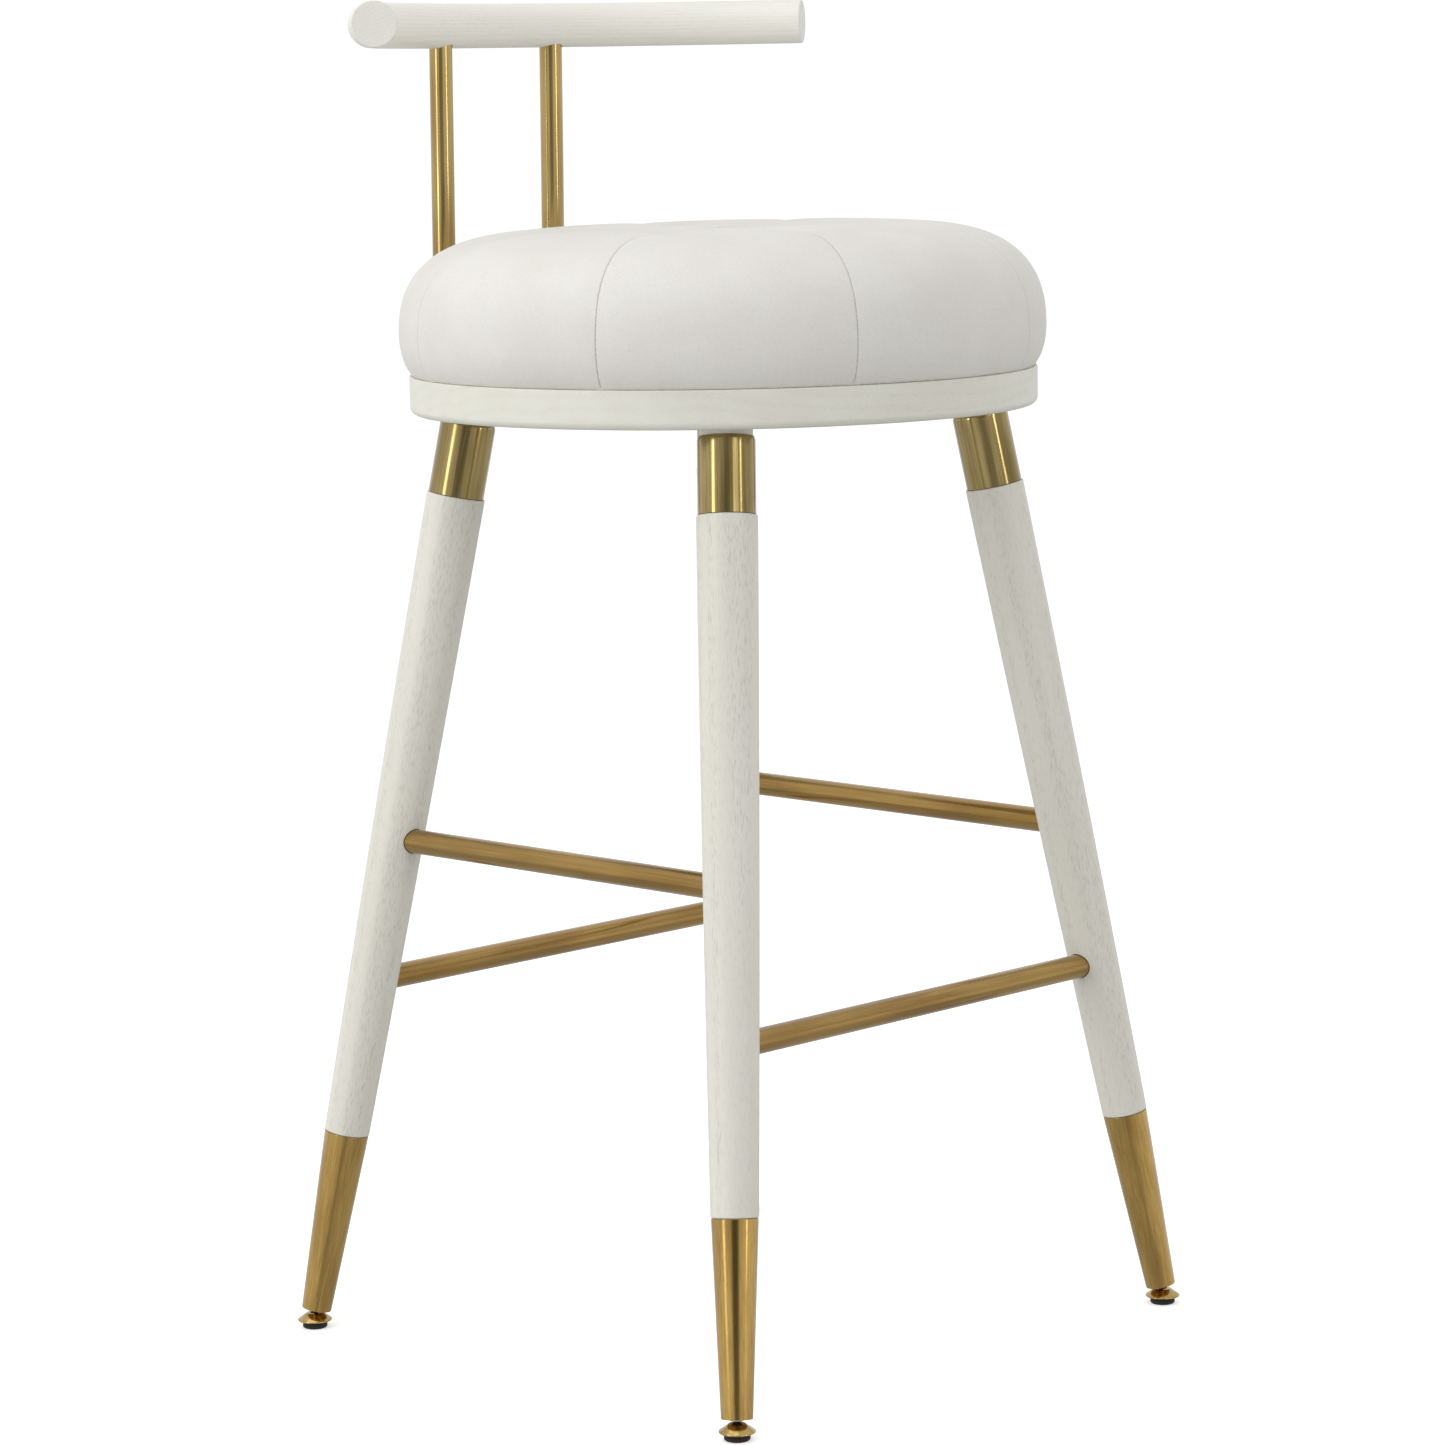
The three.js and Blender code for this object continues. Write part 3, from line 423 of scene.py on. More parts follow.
# ---- Stretchers ----
# Four drawn brass tubes, polished a little finer than the fittings, with their ends glued into
# the legs' sockets. The two side ones are the higher pair and the front one is the footrest.
STRETCHER_SIDES = 64
STRETCHER_BORE = 6.9 * MM
STRETCHER_EDGE = 0.3 * MM
tube_brass = satin_brass("satin_brass_tube", "#B28E48", "#997535", 0.20, 0.30, 1.1)
for number, side in enumerate(("front", "back", "left", "right")):
    low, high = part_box(f"stretcher_{side}")
    across_x = side in ("front", "back")
    half = (high.x - low.x) / 2 if across_x else (high.y - low.y) / 2
    tube = turned_piece(f"brass_stretcher_{side}", [
        (STRETCHER_BORE, -half), (STRETCHER_RADIUS, -half), (STRETCHER_RADIUS, 0),
        (STRETCHER_RADIUS, half), (STRETCHER_BORE, half), (STRETCHER_BORE, -half)],
        STRETCHER_SIDES)
    soften(tube, STRETCHER_EDGE)
    turn = Matrix.Rotation(math.pi / 2, 4, "Y" if across_x else "X")
    laid = Matrix.Translation((low + high) / 2) @ turn
    set_in_place(tube, laid)
    mark_run(tube, laid, Vector((0.04, 0.02, 0.5)) * number)
    give(tube, "stool", "satin_brass", tube_brass, f"stretcher_{side}")

# ---- Levelling glides ----
# A zinc-plated stem threaded into the leg's foot insert ends in a nylon ball, and a brass foot
# shaped as two cones snaps over the ball, so that it can tilt to the floor. A black rubber pad
# is pressed into the foot. A small hexagon on the stem takes a spanner.
GLIDE_SIDES = 64
BALL_RADIUS = 3.3 * MM
BALL_FLAT = 2.4 * MM
PIN_RADIUS = 1.6 * MM
PIN_CHAMFER = 0.3 * MM
PIN_HOLE_DEPTH = 1.9 * MM
PIVOT_HEIGHT = 6.6 * MM
STEM_SIDES = 48
HEXAGON_ACROSS = 8 * MM
HEXAGON_HEIGHT = 1 * MM
THREAD_PITCH = 1.25 * MM
THREAD_ROOT = 3.1 * MM
THREAD_CREST = 3.68 * MM
THREAD_STEPS = 24
THREAD_START = THREAD_PITCH * 0.6
THREAD_HALF_WIDTH = THREAD_PITCH * 0.46
THREAD_SINK = 0.1 * MM
FOOT_RIM_RADIUS = 12.1 * MM
FOOT_RIM_HEIGHT = 5.7 * MM
FOOT_RIM_ROUND = 0.6 * MM
FOOT_MOUTH_DEPTH = 2.0 * MM
FOOT_EDGE = 0.25 * MM
FOOT_TOP_RADIUS = 5.6 * MM
FOOT_TOP_HEIGHT = 10.6 * MM
FOOT_BOTTOM_RADIUS = 8.9 * MM
FOOT_MOUTH_RADIUS = 3.2 * MM
FOOT_SOCKET_RADIUS = 3.7 * MM
PAD_RADIUS = 8.6 * MM
PAD_THICKNESS = 3.4 * MM
PAD_CHAMFER = 0.8 * MM


def round_points(centre_radius, centre_height, radius, start, end, steps):
    """Points on an arc from one angle to another, in degrees, for a turned outline."""
    angles = [math.radians(start + (end - start) * step / steps) for step in range(steps + 1)]
    return [(centre_radius + radius * math.cos(a), centre_height + radius * math.sin(a))
            for a in angles]


def natural_nylon(name):
    """Moulded natural nylon: a milky, slightly see-through white with a soft gloss."""
    material, tree, shader = new_material(name, Metallic=0.0, IOR=1.53,
                                          Subsurface_Weight=0.2, Subsurface_Scale=1 * MM)
    where = add_node(tree, "TexCoord", {}, output="Object")
    flow = add_node(tree, "TexNoise", {"Scale": 350.0, "Detail": 2.0},
                    {"Vector": where})
    tone = add_node(tree, "Mix", {
        "data_type": "RGBA", 6: paint("#E2E1DA"), 7: paint("#D3D1C6")}, {0: flow}, output=2)
    dull = add_node(tree, "MapRange", {"To Min": 0.35, "To Max": 0.5},
                    {"Value": flow})
    join(shader, {"Base Color": tone, "Roughness": dull})
    return material


def black_rubber(name):
    """Moulded black rubber: almost no gloss, with a fine dusty bloom and a pitted skin."""
    material, tree, shader = new_material(name, Metallic=0.0, IOR=1.52)
    where = add_node(tree, "TexCoord", {}, output="Object")
    pits = add_node(tree, "TexNoise", {"Scale": 1600.0, "Detail": 3.0},
                    {"Vector": where})
    bloom = add_node(tree, "TexNoise", {"Scale": 180.0, "Detail": 3.0},
                     {"Vector": where})
    tone = add_node(tree, "Mix", {
        "data_type": "RGBA", 6: paint("#151516"), 7: paint("#2B2A29")}, {0: bloom}, output=2)
    dull = add_node(tree, "MapRange", {"To Min": 0.65, "To Max": 0.9},
                    {"Value": pits})
    relief = add_node(tree, "Bump", {"Strength": 0.4, "Distance": 0.1 * MM},
                      {"Height": pits})
    join(shader, {"Base Color": tone, "Roughness": dull, "Normal": relief})
    return material


nylon = natural_nylon("natural_nylon")
rubber = black_rubber("black_moulded_rubber")
glide_brass = satin_brass("polished_brass_glides", "#C6A868", "#AC8C46", 0.12, 0.22, 1.2)
pivot_along = PIVOT_HEIGHT / (first_place.to_quaternion() @ Vector((0, 0, 1))).z
stem_low, stem_high = reach_along(first_place, "glide_stem_front_left")
hexagon_high = ferrule_low - FIT / 2
hexagon_low = hexagon_high - HEXAGON_HEIGHT
hexagon_middle = (hexagon_low + hexagon_high) / 2
chamfer = THREAD_CREST - THREAD_ROOT
stem_shape = turned_piece("stem_shape", [
    (PIN_RADIUS * 0.8, stem_low), (PIN_RADIUS, stem_low + PIN_CHAMFER),
    (PIN_RADIUS, hexagon_middle), (THREAD_ROOT, hexagon_middle),
    (THREAD_ROOT, stem_high - chamfer), (THREAD_ROOT - chamfer, stem_high)], STEM_SIDES)
hexagon = turned_piece("hexagon", [
    (HEXAGON_ACROSS / math.sqrt(3), hexagon_low),
    (HEXAGON_ACROSS / math.sqrt(3), hexagon_high)], 6)
soften(hexagon, 0.15 * MM, 2)

# The thread is one triangular ridge wound up the shank, with its root just inside the core.
bpy.ops.mesh.primitive_circle_add(vertices=3, radius=THREAD_CREST, fill_type="NOTHING")
ridge = bpy.context.object
ridge_low = hexagon_high + THREAD_START
root_inside = THREAD_ROOT - THREAD_SINK
ridge_points = ((root_inside, -THREAD_HALF_WIDTH), (THREAD_CREST, 0),
                (root_inside, THREAD_HALF_WIDTH))
for point, (radius, height) in zip(ridge.data.vertices, ridge_points):
    point.co = (radius, 0, ridge_low + height)
thread_turns = int((stem_high - chamfer - ridge_low) / THREAD_PITCH)
apply_modifier(ridge, "SCREW", axis="Z", angle=2 * math.pi, screw_offset=THREAD_PITCH,
               iterations=thread_turns, steps=THREAD_STEPS, render_steps=THREAD_STEPS)
open_mesh()
bpy.ops.mesh.fill_holes(sides=0)
close_mesh()
pick_only(stem_shape)
hexagon.select_set(True)
ridge.select_set(True)
bpy.ops.object.join()
pick_only(stem_shape)
bpy.ops.object.shade_smooth_by_angle(angle=math.radians(28))

ball_shape = turned_piece("ball_shape", [
    (math.sqrt(BALL_RADIUS ** 2 - BALL_FLAT ** 2), pivot_along - BALL_FLAT),
    *round_points(0, pivot_along, BALL_RADIUS, -40, 54, 12),
    (PIN_RADIUS + FIT, pivot_along - PIN_HOLE_DEPTH)], GLIDE_SIDES)
soften(ball_shape, 0)

foot_shape = turned_piece("foot_shape", [
    (FOOT_SOCKET_RADIUS, PAD_THICKNESS), (FOOT_BOTTOM_RADIUS, PAD_THICKNESS),
    *round_points(FOOT_RIM_RADIUS - FOOT_RIM_ROUND, FOOT_RIM_HEIGHT, FOOT_RIM_ROUND, -45, 45, 6),
    (FOOT_TOP_RADIUS, FOOT_TOP_HEIGHT), (FOOT_MOUTH_RADIUS, FOOT_TOP_HEIGHT),
    (FOOT_MOUTH_RADIUS, FOOT_TOP_HEIGHT - FOOT_MOUTH_DEPTH), (FOOT_SOCKET_RADIUS, PIVOT_HEIGHT),
    (FOOT_SOCKET_RADIUS, PAD_THICKNESS)], GLIDE_SIDES)
soften(foot_shape, FOOT_EDGE, smooth_to=50)
pad_shape = turned_piece("pad_shape", [
    (PAD_RADIUS - PAD_CHAMFER, 0), (PAD_RADIUS, PAD_CHAMFER),
    (PAD_RADIUS, PAD_THICKNESS)], GLIDE_SIDES)
soften(pad_shape, 0.35 * MM)
for number, corner in enumerate(CORNERS):
    stem = set_in_place(copy_of(stem_shape, f"threaded_stem_{corner}"), places[corner])
    give(stem, f"{corner}_stem", "zinc_steel", zinc, f"glide_stem_{corner}")
    ball = set_in_place(copy_of(ball_shape, f"nylon_ball_{corner}"), places[corner])
    give(ball, f"{corner}_ball", "nylon", nylon, f"glide_ball_{corner}")
    under_pad = middle_of(f"glide_pad_{corner}")
    under_pad.z = 0
    level = Matrix.Translation(under_pad)
    foot = set_in_place(copy_of(foot_shape, f"brass_glide_foot_{corner}"), level)
    mark_run(foot, level @ Matrix.Rotation(math.pi / 2, 4, "X"), Vector((0.02, 0.01, 0)) * number)
    give(foot, f"{corner}_foot", "satin_brass", glide_brass, f"glide_foot_{corner}")
    pad = set_in_place(copy_of(pad_shape, f"rubber_pad_{corner}"), level)
    give(pad, f"{corner}_foot", "pad_rubber", rubber, f"glide_pad_{corner}")
for shape in (stem_shape, ball_shape, foot_shape, pad_shape):
    bpy.data.objects.remove(shape)

# ---- Seat base ----
# A 26 mm wooden disc, sanded, filled and sprayed with the same off-white lacquer, so its grain
# hardly shows. The router leaves a 5 mm round under its rim and a small one above. A zinc
# bolt from above holds each leg in its socket, and its head is sunk under the seat board.
BASE_SIDES = 160
BASE_LOWER_ROUND = 5 * MM
BASE_UPPER_ROUND = 1.0 * MM
BASE_FACE_RING = 60 * MM
base_ash = lacquered_ash("lacquered_filled_board", "#E8E7DC", "#E4E2D6", 0.10, 0.02, 9 * MM)
base_low, base_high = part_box("seat_base")
seat_axis = middle_of("seat_base")
seat_axis.z = 0
base_radius = (base_high.x - base_low.x) / 2
base = turned_piece("lacquered_seat_base", [
    (base_radius - BASE_FACE_RING, base_low.z), (base_radius - BASE_LOWER_ROUND, base_low.z),
    *round_points(base_radius - BASE_LOWER_ROUND, base_low.z + BASE_LOWER_ROUND,
                  BASE_LOWER_ROUND, -75, 0, 6),
    *round_points(base_radius - BASE_UPPER_ROUND, base_high.z - BASE_UPPER_ROUND,
                  BASE_UPPER_ROUND, 0, 90, 4),
    (base_radius - BASE_FACE_RING, base_high.z)], BASE_SIDES)
soften(base, 0)
on_seat_axis = Matrix.Translation(seat_axis)
set_in_place(base, on_seat_axis)
mark_run(base, on_seat_axis @ Matrix.Rotation(math.pi / 2, 4, "Y"))
give(base, "stool", "painted_wood", base_ash, "seat_base")
for corner in CORNERS:
    coat(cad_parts[f"leg_bolt_{corner}"], zinc)

# ---- Seat board and foam ----
# A 12 mm birch plywood disc inside the cushion, and on it a block of cut upholstery foam with
# a rolled shoulder. Both are hidden by the cover.
FOAM_INSET = 7 * MM
FOAM_FOOT_INSET = 10 * MM
FOAM_SIDES = 96
CUSHION_WIDEST = 221 * MM
CUSHION_FOOT = 213 * MM
CUSHION_BULGE = 27 * MM
CUSHION_FLAT_TOP = 130 * MM
CUSHION_HEIGHT = 95 * MM
SHOULDER_POWER = 2.5
FOOT_SLANT = math.radians(30)


def birch_plywood(name):
    """Sanded birch plywood: pale faces, and edges in thin light and dark layers."""
    material, tree, shader = new_material(name, Metallic=0.0, Roughness=0.75)
    where = add_node(tree, "TexCoord", {}, output="Object")
    # Nine 1.4 mm layers through the board's thickness.
    layers = add_node(tree, "TexWave", {
        "wave_type": "BANDS", "bands_direction": "Z", "Scale": 112.0, "Distortion": 0.3},
        {"Vector": where}, output="Fac")
    stretched = add_node(tree, "Mapping", {"Scale": (12, 260, 260)},
                         {"Vector": where})
    figure = add_node(tree, "TexNoise", {"Scale": 1.0, "Detail": 3.0},
                      {"Vector": stretched})
    both = add_node(tree, "Math", {"operation": "MULTIPLY"},
                    {0: layers, 1: figure})
    tone = add_node(tree, "Mix", {
        "data_type": "RGBA", 6: paint("#D8BC8E"), 7: paint("#A9814F")}, {0: both}, output=2)
    join(shader, {"Base Color": tone})
    return material


def cut_foam(name):
    """Open-cell polyurethane foam: pale yellow and quite matt, with painted shade in its small
    open cells.
    """
    material, tree, shader = new_material(name, Metallic=0.0, Roughness=0.95)
    where = add_node(tree, "TexCoord", {}, output="Object")
    # Cells are drawn 2 mm across, about twice their real size, so as to show.
    cells = add_node(tree, "TexVoronoi", {"Scale": 500.0},
                     {"Vector": where})
    # Each cell is painted darker, towards #C9BC80, at its middle: painted shade in its hollow.
    tone = add_node(tree, "Mix", {
        "data_type": "RGBA", 6: paint("#C9BC80"), 7: paint("#EEE4B2")}, {0: cells}, output=2)
    relief = add_node(tree, "Bump", {"Strength": 0.6, "Distance": 0.5 * MM},
                      {"Height": cells})
    join(shader, {"Base Color": tone, "Normal": relief})
    return material


def cushion_side(inset, steps):
    """The cushion's outline over its bulge and shoulder to the flat of its top. It rises from
    the base at a slant, because the cover is pulled in under the board there."""
    bottom, top = base_high.z, base_high.z + CUSHION_HEIGHT - inset
    widest, foot = CUSHION_WIDEST - inset, CUSHION_FOOT - inset
    bulge = base_high.z + CUSHION_BULGE
    points = []
    for step in range(steps):
        angle = FOOT_SLANT + (math.pi / 2 - FOOT_SLANT) * step / steps
        pulled_in = (1 - math.sin(angle)) / (1 - math.sin(FOOT_SLANT))
        points.append((widest - (widest - foot) * pulled_in,
                       bulge - (bulge - bottom) * math.cos(angle) / math.cos(FOOT_SLANT)))
    for step in range(2 * steps + 1):
        angle = math.pi / 2 * step / (2 * steps)
        across = abs(math.cos(angle)) ** (2 / SHOULDER_POWER)
        up = math.sin(angle) ** (2 / SHOULDER_POWER)
        points.append((CUSHION_FLAT_TOP + (widest - CUSHION_FLAT_TOP) * across,
                       bulge + (top - bulge) * up))
    return points


coat(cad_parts["seat_board"], birch_plywood("sanded_birch_plywood"))
foam_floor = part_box("cushion_foam")[0].z
foam_side = [(r, h) for r, h in cushion_side(FOAM_INSET, 8) if h > foam_floor + 1 * MM]
foam = turned_piece("foam_block", [
    (CUSHION_FOOT - FOAM_FOOT_INSET, foam_floor), (foam_side[0][0], foam_floor), *foam_side,
    (CUSHION_FLAT_TOP / 2, foam_side[-1][1])], FOAM_SIDES)
soften(foam, 0)
set_in_place(foam, on_seat_axis)
give(foam, "stool", "foam", cut_foam("cut_upholstery_foam"), "cushion_foam")

# ---- Cushion cover ----
# Eight wedges of off-white coated fabric sewn edge to edge and pulled tight over the foam, then
# stapled under the board. The seams run from the base up over the shoulder to the middle of
# the top, each a fine closed line that the panels swell a little on both sides of.
SEAM_ANGLES = (24.1, 68.2, 112.5, 157.1, 202.5, 247.3, 292.0, 337.5)
COVER_INSET = -0.6 * MM
COVER_VOXEL = 5 * MM
COVER_SIDES = 128
TURN_UNDER_DEPTH = 4 * MM
TURN_UNDER_WIDTH = 40 * MM
TOP_LIFT = 1.2 * MM
TOP_UNEVENNESS = 1.8 * MM
FULLER_SIDE = Vector((0.6969, -0.7172, 0))
COVER_MOST_SWELL = 2.4 * MM
PRESSURE = 4
SEAM_DEPTH = 0.5 * MM
SEAM_HALF_WIDTH = 0.5 * MM
SEAM_SADDLE = 0.5 * MM
SEAM_SADDLE_WIDTH = 7 * MM
SEAM_HOLD_WIDTH = 5 * MM
STITCH_LENGTH = 3.2 * MM
FOOT_HOLD_HEIGHT = 4 * MM
MIDDLE_HOLD_RADIUS = 12 * MM
UNDERSIDE = -0.7
POST_RADIUS = 8.2 * MM
POST_CLEARANCE = 9.3 * MM


def coated_fabric(name):
    """Matt coated fabric, made to look like a fine leather: a warm off-white with a small
    pebbled grain whose valleys carry a little painted shade, a soft sheen at a low angle, and
    closed seams drawn as a line of painted shade in their gap, dotted by the thread's stitches."""
    material, tree, shader = new_material(name, Metallic=0.0, IOR=1.45,
                                          Sheen_Weight=0.12, Sheen_Roughness=0.5)
    where = add_node(tree, "TexCoord", {}, output="Object")
    # Pebbles are really about 0.8 mm across, and are drawn 1.6 mm across so as to show.
    warp = add_node(tree, "TexNoise", {"Scale": 220.0, "Detail": 2.0},
                    {"Vector": where}, output="Color")
    shifted = add_node(tree, "VectorMath", {
        "operation": "MULTIPLY_ADD", 1: (0.0016, 0.0016, 0.0016)},
        {0: warp, 2: where})
    pebbles = add_node(tree, "TexVoronoi", {
        "Scale": 620.0, "feature": "SMOOTH_F1", "Smoothness": 0.6},
        {"Vector": shifted})
    # Dye and handling vary over about 60 mm.
    broad = add_node(tree, "TexNoise", {"Scale": 16.0, "Detail": 4.0},
                     {"Vector": where})
    even = add_node(tree, "MapRange", {"From Min": 0.3, "From Max": 0.7},
                    {"Value": broad})
    body = add_node(tree, "Mix", {
        "data_type": "RGBA", 6: paint("#E6E4DF"), 7: paint("#E0DCD6")}, {0: even}, output=2)
    # The grain's valleys are painted a little darker, towards #BFBAB0: painted shade in the
    # hollows.
    valley_shade = add_node(tree, "MapRange", {
        "From Min": 0.35, "From Max": 0.8, "To Min": 0.0, "To Max": 0.10},
        {"Value": pebbles})
    grained = add_node(tree, "Mix", {
        "data_type": "RGBA", 7: paint("#BFBAB0")}, {0: valley_shade, 6: body}, output=2)
    # The seam line is painted shade in the closed seam's gap, darkened towards #85807A and dotted
    # along its length by the thread's stitches.
    sewing = add_node(tree, "Attribute", {"attribute_name": "sewing"}, output="Vector")
    beside = add_node(tree, "SeparateXYZ", {}, {"Vector": sewing})
    line = add_node(tree, "MapRange", {
        "interpolation_type": "SMOOTHSTEP", "From Min": 0.1 * MM, "From Max": 0.6 * MM,
        "To Min": 1.0, "To Max": 0.0}, {"Value": beside})
    thread = add_node(tree, "Math", {"operation": "MULTIPLY",
                      1: 2 * math.pi / STITCH_LENGTH}, {0: beside.node.outputs["Y"]})
    stitches = add_node(tree, "Math", {"operation": "SINE"}, {0: thread})
    dark = add_node(tree, "MapRange", {
        "From Min": -1.0, "From Max": 1.0, "To Min": 0.22, "To Max": 0.42},
        {"Value": stitches})
    seam = add_node(tree, "Math", {"operation": "MULTIPLY"},
                    {0: line, 1: dark})
    colour = add_node(tree, "Mix", {
        "data_type": "RGBA", 7: paint("#85807A")}, {0: seam, 6: grained}, output=2)
    dull = add_node(tree, "MapRange", {"To Min": 0.50, "To Max": 0.68},
                    {"Value": pebbles})
    relief = add_node(tree, "Bump", {"Strength": 0.22, "Distance": 0.15 * MM},
                      {"Height": pebbles})
    join(shader, {"Base Color": colour, "Roughness": dull, "Normal": relief})
    return material


side = cushion_side(COVER_INSET, 8)
turn_under = base_high.z - TURN_UNDER_DEPTH
cover = turned_piece("sewn_cushion_cover", [
    (CUSHION_FOOT - TURN_UNDER_WIDTH, turn_under),
    (side[0][0] - TURN_UNDER_DEPTH, turn_under), *side,
    (CUSHION_FLAT_TOP * 0.66, side[-1][1]), (CUSHION_FLAT_TOP * 0.33, side[-1][1])], COVER_SIDES)
set_in_place(cover, on_seat_axis)
apply_modifier(cover, "REMESH", mode="VOXEL", voxel_size=COVER_VOXEL)
apply_modifier(cover, "SMOOTH", factor=0.5, iterations=6)
seams = [Vector((math.cos(math.radians(angle)), math.sin(math.radians(angle)), 0))
         for angle in SEAM_ANGLES]


def post_lean(low, high):
    """How far a post leans forward for each metre that it rises."""
    return ((high.y - low.y) - 2 * POST_RADIUS) / (high.z - low.z)


def seam_distance(point):
    """How far a point is sideways from the nearest seam, and from the seat's axis."""
    level = Vector((point.x - seat_axis.x, point.y - seat_axis.y, 0))
    nearest = max(seams, key=level.dot)
    return level.cross(nearest).length, level.length


# The swelling of the panels is simulated: air pressure inside, the seams and the foot held.
held = cover.vertex_groups.new(name="sewn_down")
rest = [point.co.copy() for point in cover.data.vertices]
for number, point in enumerate(rest):
    beside, radius = seam_distance(point)
    firm = math.exp(-(beside / SEAM_HOLD_WIDTH) ** 2)
    if point.z < base_high.z + FOOT_HOLD_HEIGHT or radius < MIDDLE_HOLD_RADIUS:
        firm = 1.0
    held.add([number], firm, "REPLACE")
pick_only(cover)
bpy.ops.object.modifier_add(type="CLOTH")
cloth = cover.modifiers[-1]
cloth.settings.quality = 4
cloth.settings.use_pressure = True
cloth.settings.uniform_pressure_force = PRESSURE
cloth.settings.tension_stiffness = 15
cloth.settings.effector_weights.gravity = 0
cloth.settings.vertex_group_mass = "sewn_down"
for step in range(1, 21):
    bpy.context.scene.frame_set(step)
bpy.ops.object.modifier_apply(modifier=cloth.name)
bpy.context.scene.frame_set(1)
for point, start in zip(cover.data.vertices, rest):
    swell = point.co - start
    if swell.length > COVER_MOST_SWELL:
        point.co = start + swell * (COVER_MOST_SWELL / swell.length)
cover.vertex_groups.clear()
apply_modifier(cover, "SMOOTH", factor=0.5, iterations=4)
apply_modifier(cover, "SUBSURF", levels=1, render_levels=1)

# Each seam gets its own line of points, with one close by on each side, and is drawn in.
pick_only(cover)
bpy.ops.object.mode_set(mode="EDIT")
rest_height = base_high.z + 0.15 * MM
bpy.ops.mesh.select_all(action="SELECT")
bpy.ops.mesh.bisect(plane_co=(0, 0, rest_height), plane_no=(0, 0, 1))
for seam in seams:
    across = Vector((-seam.y, seam.x, 0))
    for offset in (-SEAM_HALF_WIDTH, 0, SEAM_HALF_WIDTH):
        bpy.ops.mesh.select_all(action="SELECT")
        bpy.ops.mesh.bisect(plane_co=seat_axis + across * offset, plane_no=across)
bpy.ops.mesh.select_all(action="SELECT")
bpy.ops.mesh.remove_doubles(threshold=0.02 * MM)
bpy.ops.object.mode_set(mode="OBJECT")
sewing = cover.data.attributes.new("sewing", "FLOAT_VECTOR", "POINT")
posts = [(middle_of(node), post_lean(*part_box(node)))
         for node in ("back_post_left", "back_post_right")]
normals = [point.normal.copy() for point in cover.data.vertices]
bulge_height = base_high.z + CUSHION_BULGE
for point, normal, mark in zip(cover.data.vertices, normals, sewing.data):
    beside, radius = seam_distance(point.co)
    run_up = point.co.z - base_high.z + CUSHION_WIDEST - radius
    mark.vector = (beside if normal.z > UNDERSIDE else 1.0, run_up, 0)
    if normal.z > UNDERSIDE and radius > 3 * MM:
        drawn = SEAM_DEPTH * max(0, 1 - beside / SEAM_HALF_WIDTH)
        drawn += SEAM_SADDLE * math.exp(-(beside / SEAM_SADDLE_WIDTH) ** 2)
        point.co -= normal * drawn
    # The filling is a little higher on one side of the top, and flat where it rests.
    if point.co.z > bulge_height:
        share = (point.co.z - bulge_height) / (CUSHION_HEIGHT - CUSHION_BULGE)
        fuller = (point.co - seat_axis).dot(FULLER_SIDE) / CUSHION_WIDEST
        point.co.z += share * (TOP_LIFT + TOP_UNEVENNESS * fuller)
    point.co.z = max(point.co.z, rest_height)
    # The foam gives way where the two back posts stand against it.
    for middle, lean in posts:
        axis = Vector((middle.x, middle.y - (point.co.z - middle.z) * lean))
        apart = Vector((point.co.x, point.co.y)) - axis
        if apart.length < POST_CLEARANCE:
            away = apart.normalized() * POST_CLEARANCE
            point.co.x, point.co.y = axis.x + away.x, axis.y + away.y
pick_only(cover)
bpy.ops.object.shade_smooth_by_angle(angle=math.radians(60))
give(cover, "stool", "vegan_leather", coated_fabric("coated_fabric_cover"), "cushion_cover")

# ---- Wood screws and back plate ----
# Zinc-plated pan-head screws come up through the base into the seat board, and four more hold
# the brass-plated steel plate under the back of the base. The plate is 5 mm thick, with its
# corners rounded, and it carries the posts where it stands out behind the base.
SCREW_RADIUS = 2.1 * MM
SCREW_HEAD_RADIUS = 4.2 * MM
SCREW_HEAD_DEPTH = 2.4 * MM
SCREW_SIDES = 40
RECESS_LENGTH = 4.4 * MM
RECESS_WIDTH = 0.9 * MM
RECESS_DEPTH = 1.5 * MM
PLATE_CORNER = 12 * MM
PLATE_EDGE = 0.7 * MM
SEAT_SCREWS = ("front", "back", "left", "right")


def wood_screw(name, length):
    """A pan-head screw that points up, with the underside of its head at height 0."""
    screw = turned_piece(name, [
        (SCREW_HEAD_RADIUS * 0.55, -SCREW_HEAD_DEPTH),
        (SCREW_HEAD_RADIUS * 0.8, -SCREW_HEAD_DEPTH * 0.88),
        (SCREW_HEAD_RADIUS * 0.96, -SCREW_HEAD_DEPTH * 0.55),
        (SCREW_HEAD_RADIUS, -SCREW_HEAD_DEPTH * 0.2), (SCREW_HEAD_RADIUS, 0),
        (SCREW_RADIUS, 0), (SCREW_RADIUS, length - 2 * SCREW_RADIUS),
        (SCREW_RADIUS * 0.1, length)], SCREW_SIDES)
    soften(screw, 0, smooth_to=50)
    for turn in (0, math.pi / 2):
        bpy.ops.mesh.primitive_cube_add(size=1, location=(0, 0, -SCREW_HEAD_DEPTH),
                                        rotation=(0, 0, turn),
                                        scale=(RECESS_LENGTH, RECESS_WIDTH, 2 * RECESS_DEPTH))
        driver = bpy.context.object
        apply_modifier(screw, "BOOLEAN", operation="DIFFERENCE", solver="EXACT", object=driver)
        bpy.data.objects.remove(driver)
    return screw


for shape_name, names in (("seat_screw", SEAT_SCREWS), ("back_plate_screw", CORNERS)):
    low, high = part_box(f"{shape_name}_{names[0]}")
    screw_shape = wood_screw("screw_shape", high.z - low.z - SCREW_HEAD_DEPTH)
    for number, name in enumerate(names):
        node = f"{shape_name}_{name}"
        head = middle_of(node)
        head.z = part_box(node)[0].z + SCREW_HEAD_DEPTH
        turned_in = Matrix.Translation(head) @ Matrix.Rotation(0.7 * number + 0.3, 4, "Z")
        screw = set_in_place(copy_of(screw_shape, f"pan_head_{node}"), turned_in)
        give(screw, "stool", "zinc_steel", zinc, node)
    bpy.data.objects.remove(screw_shape)

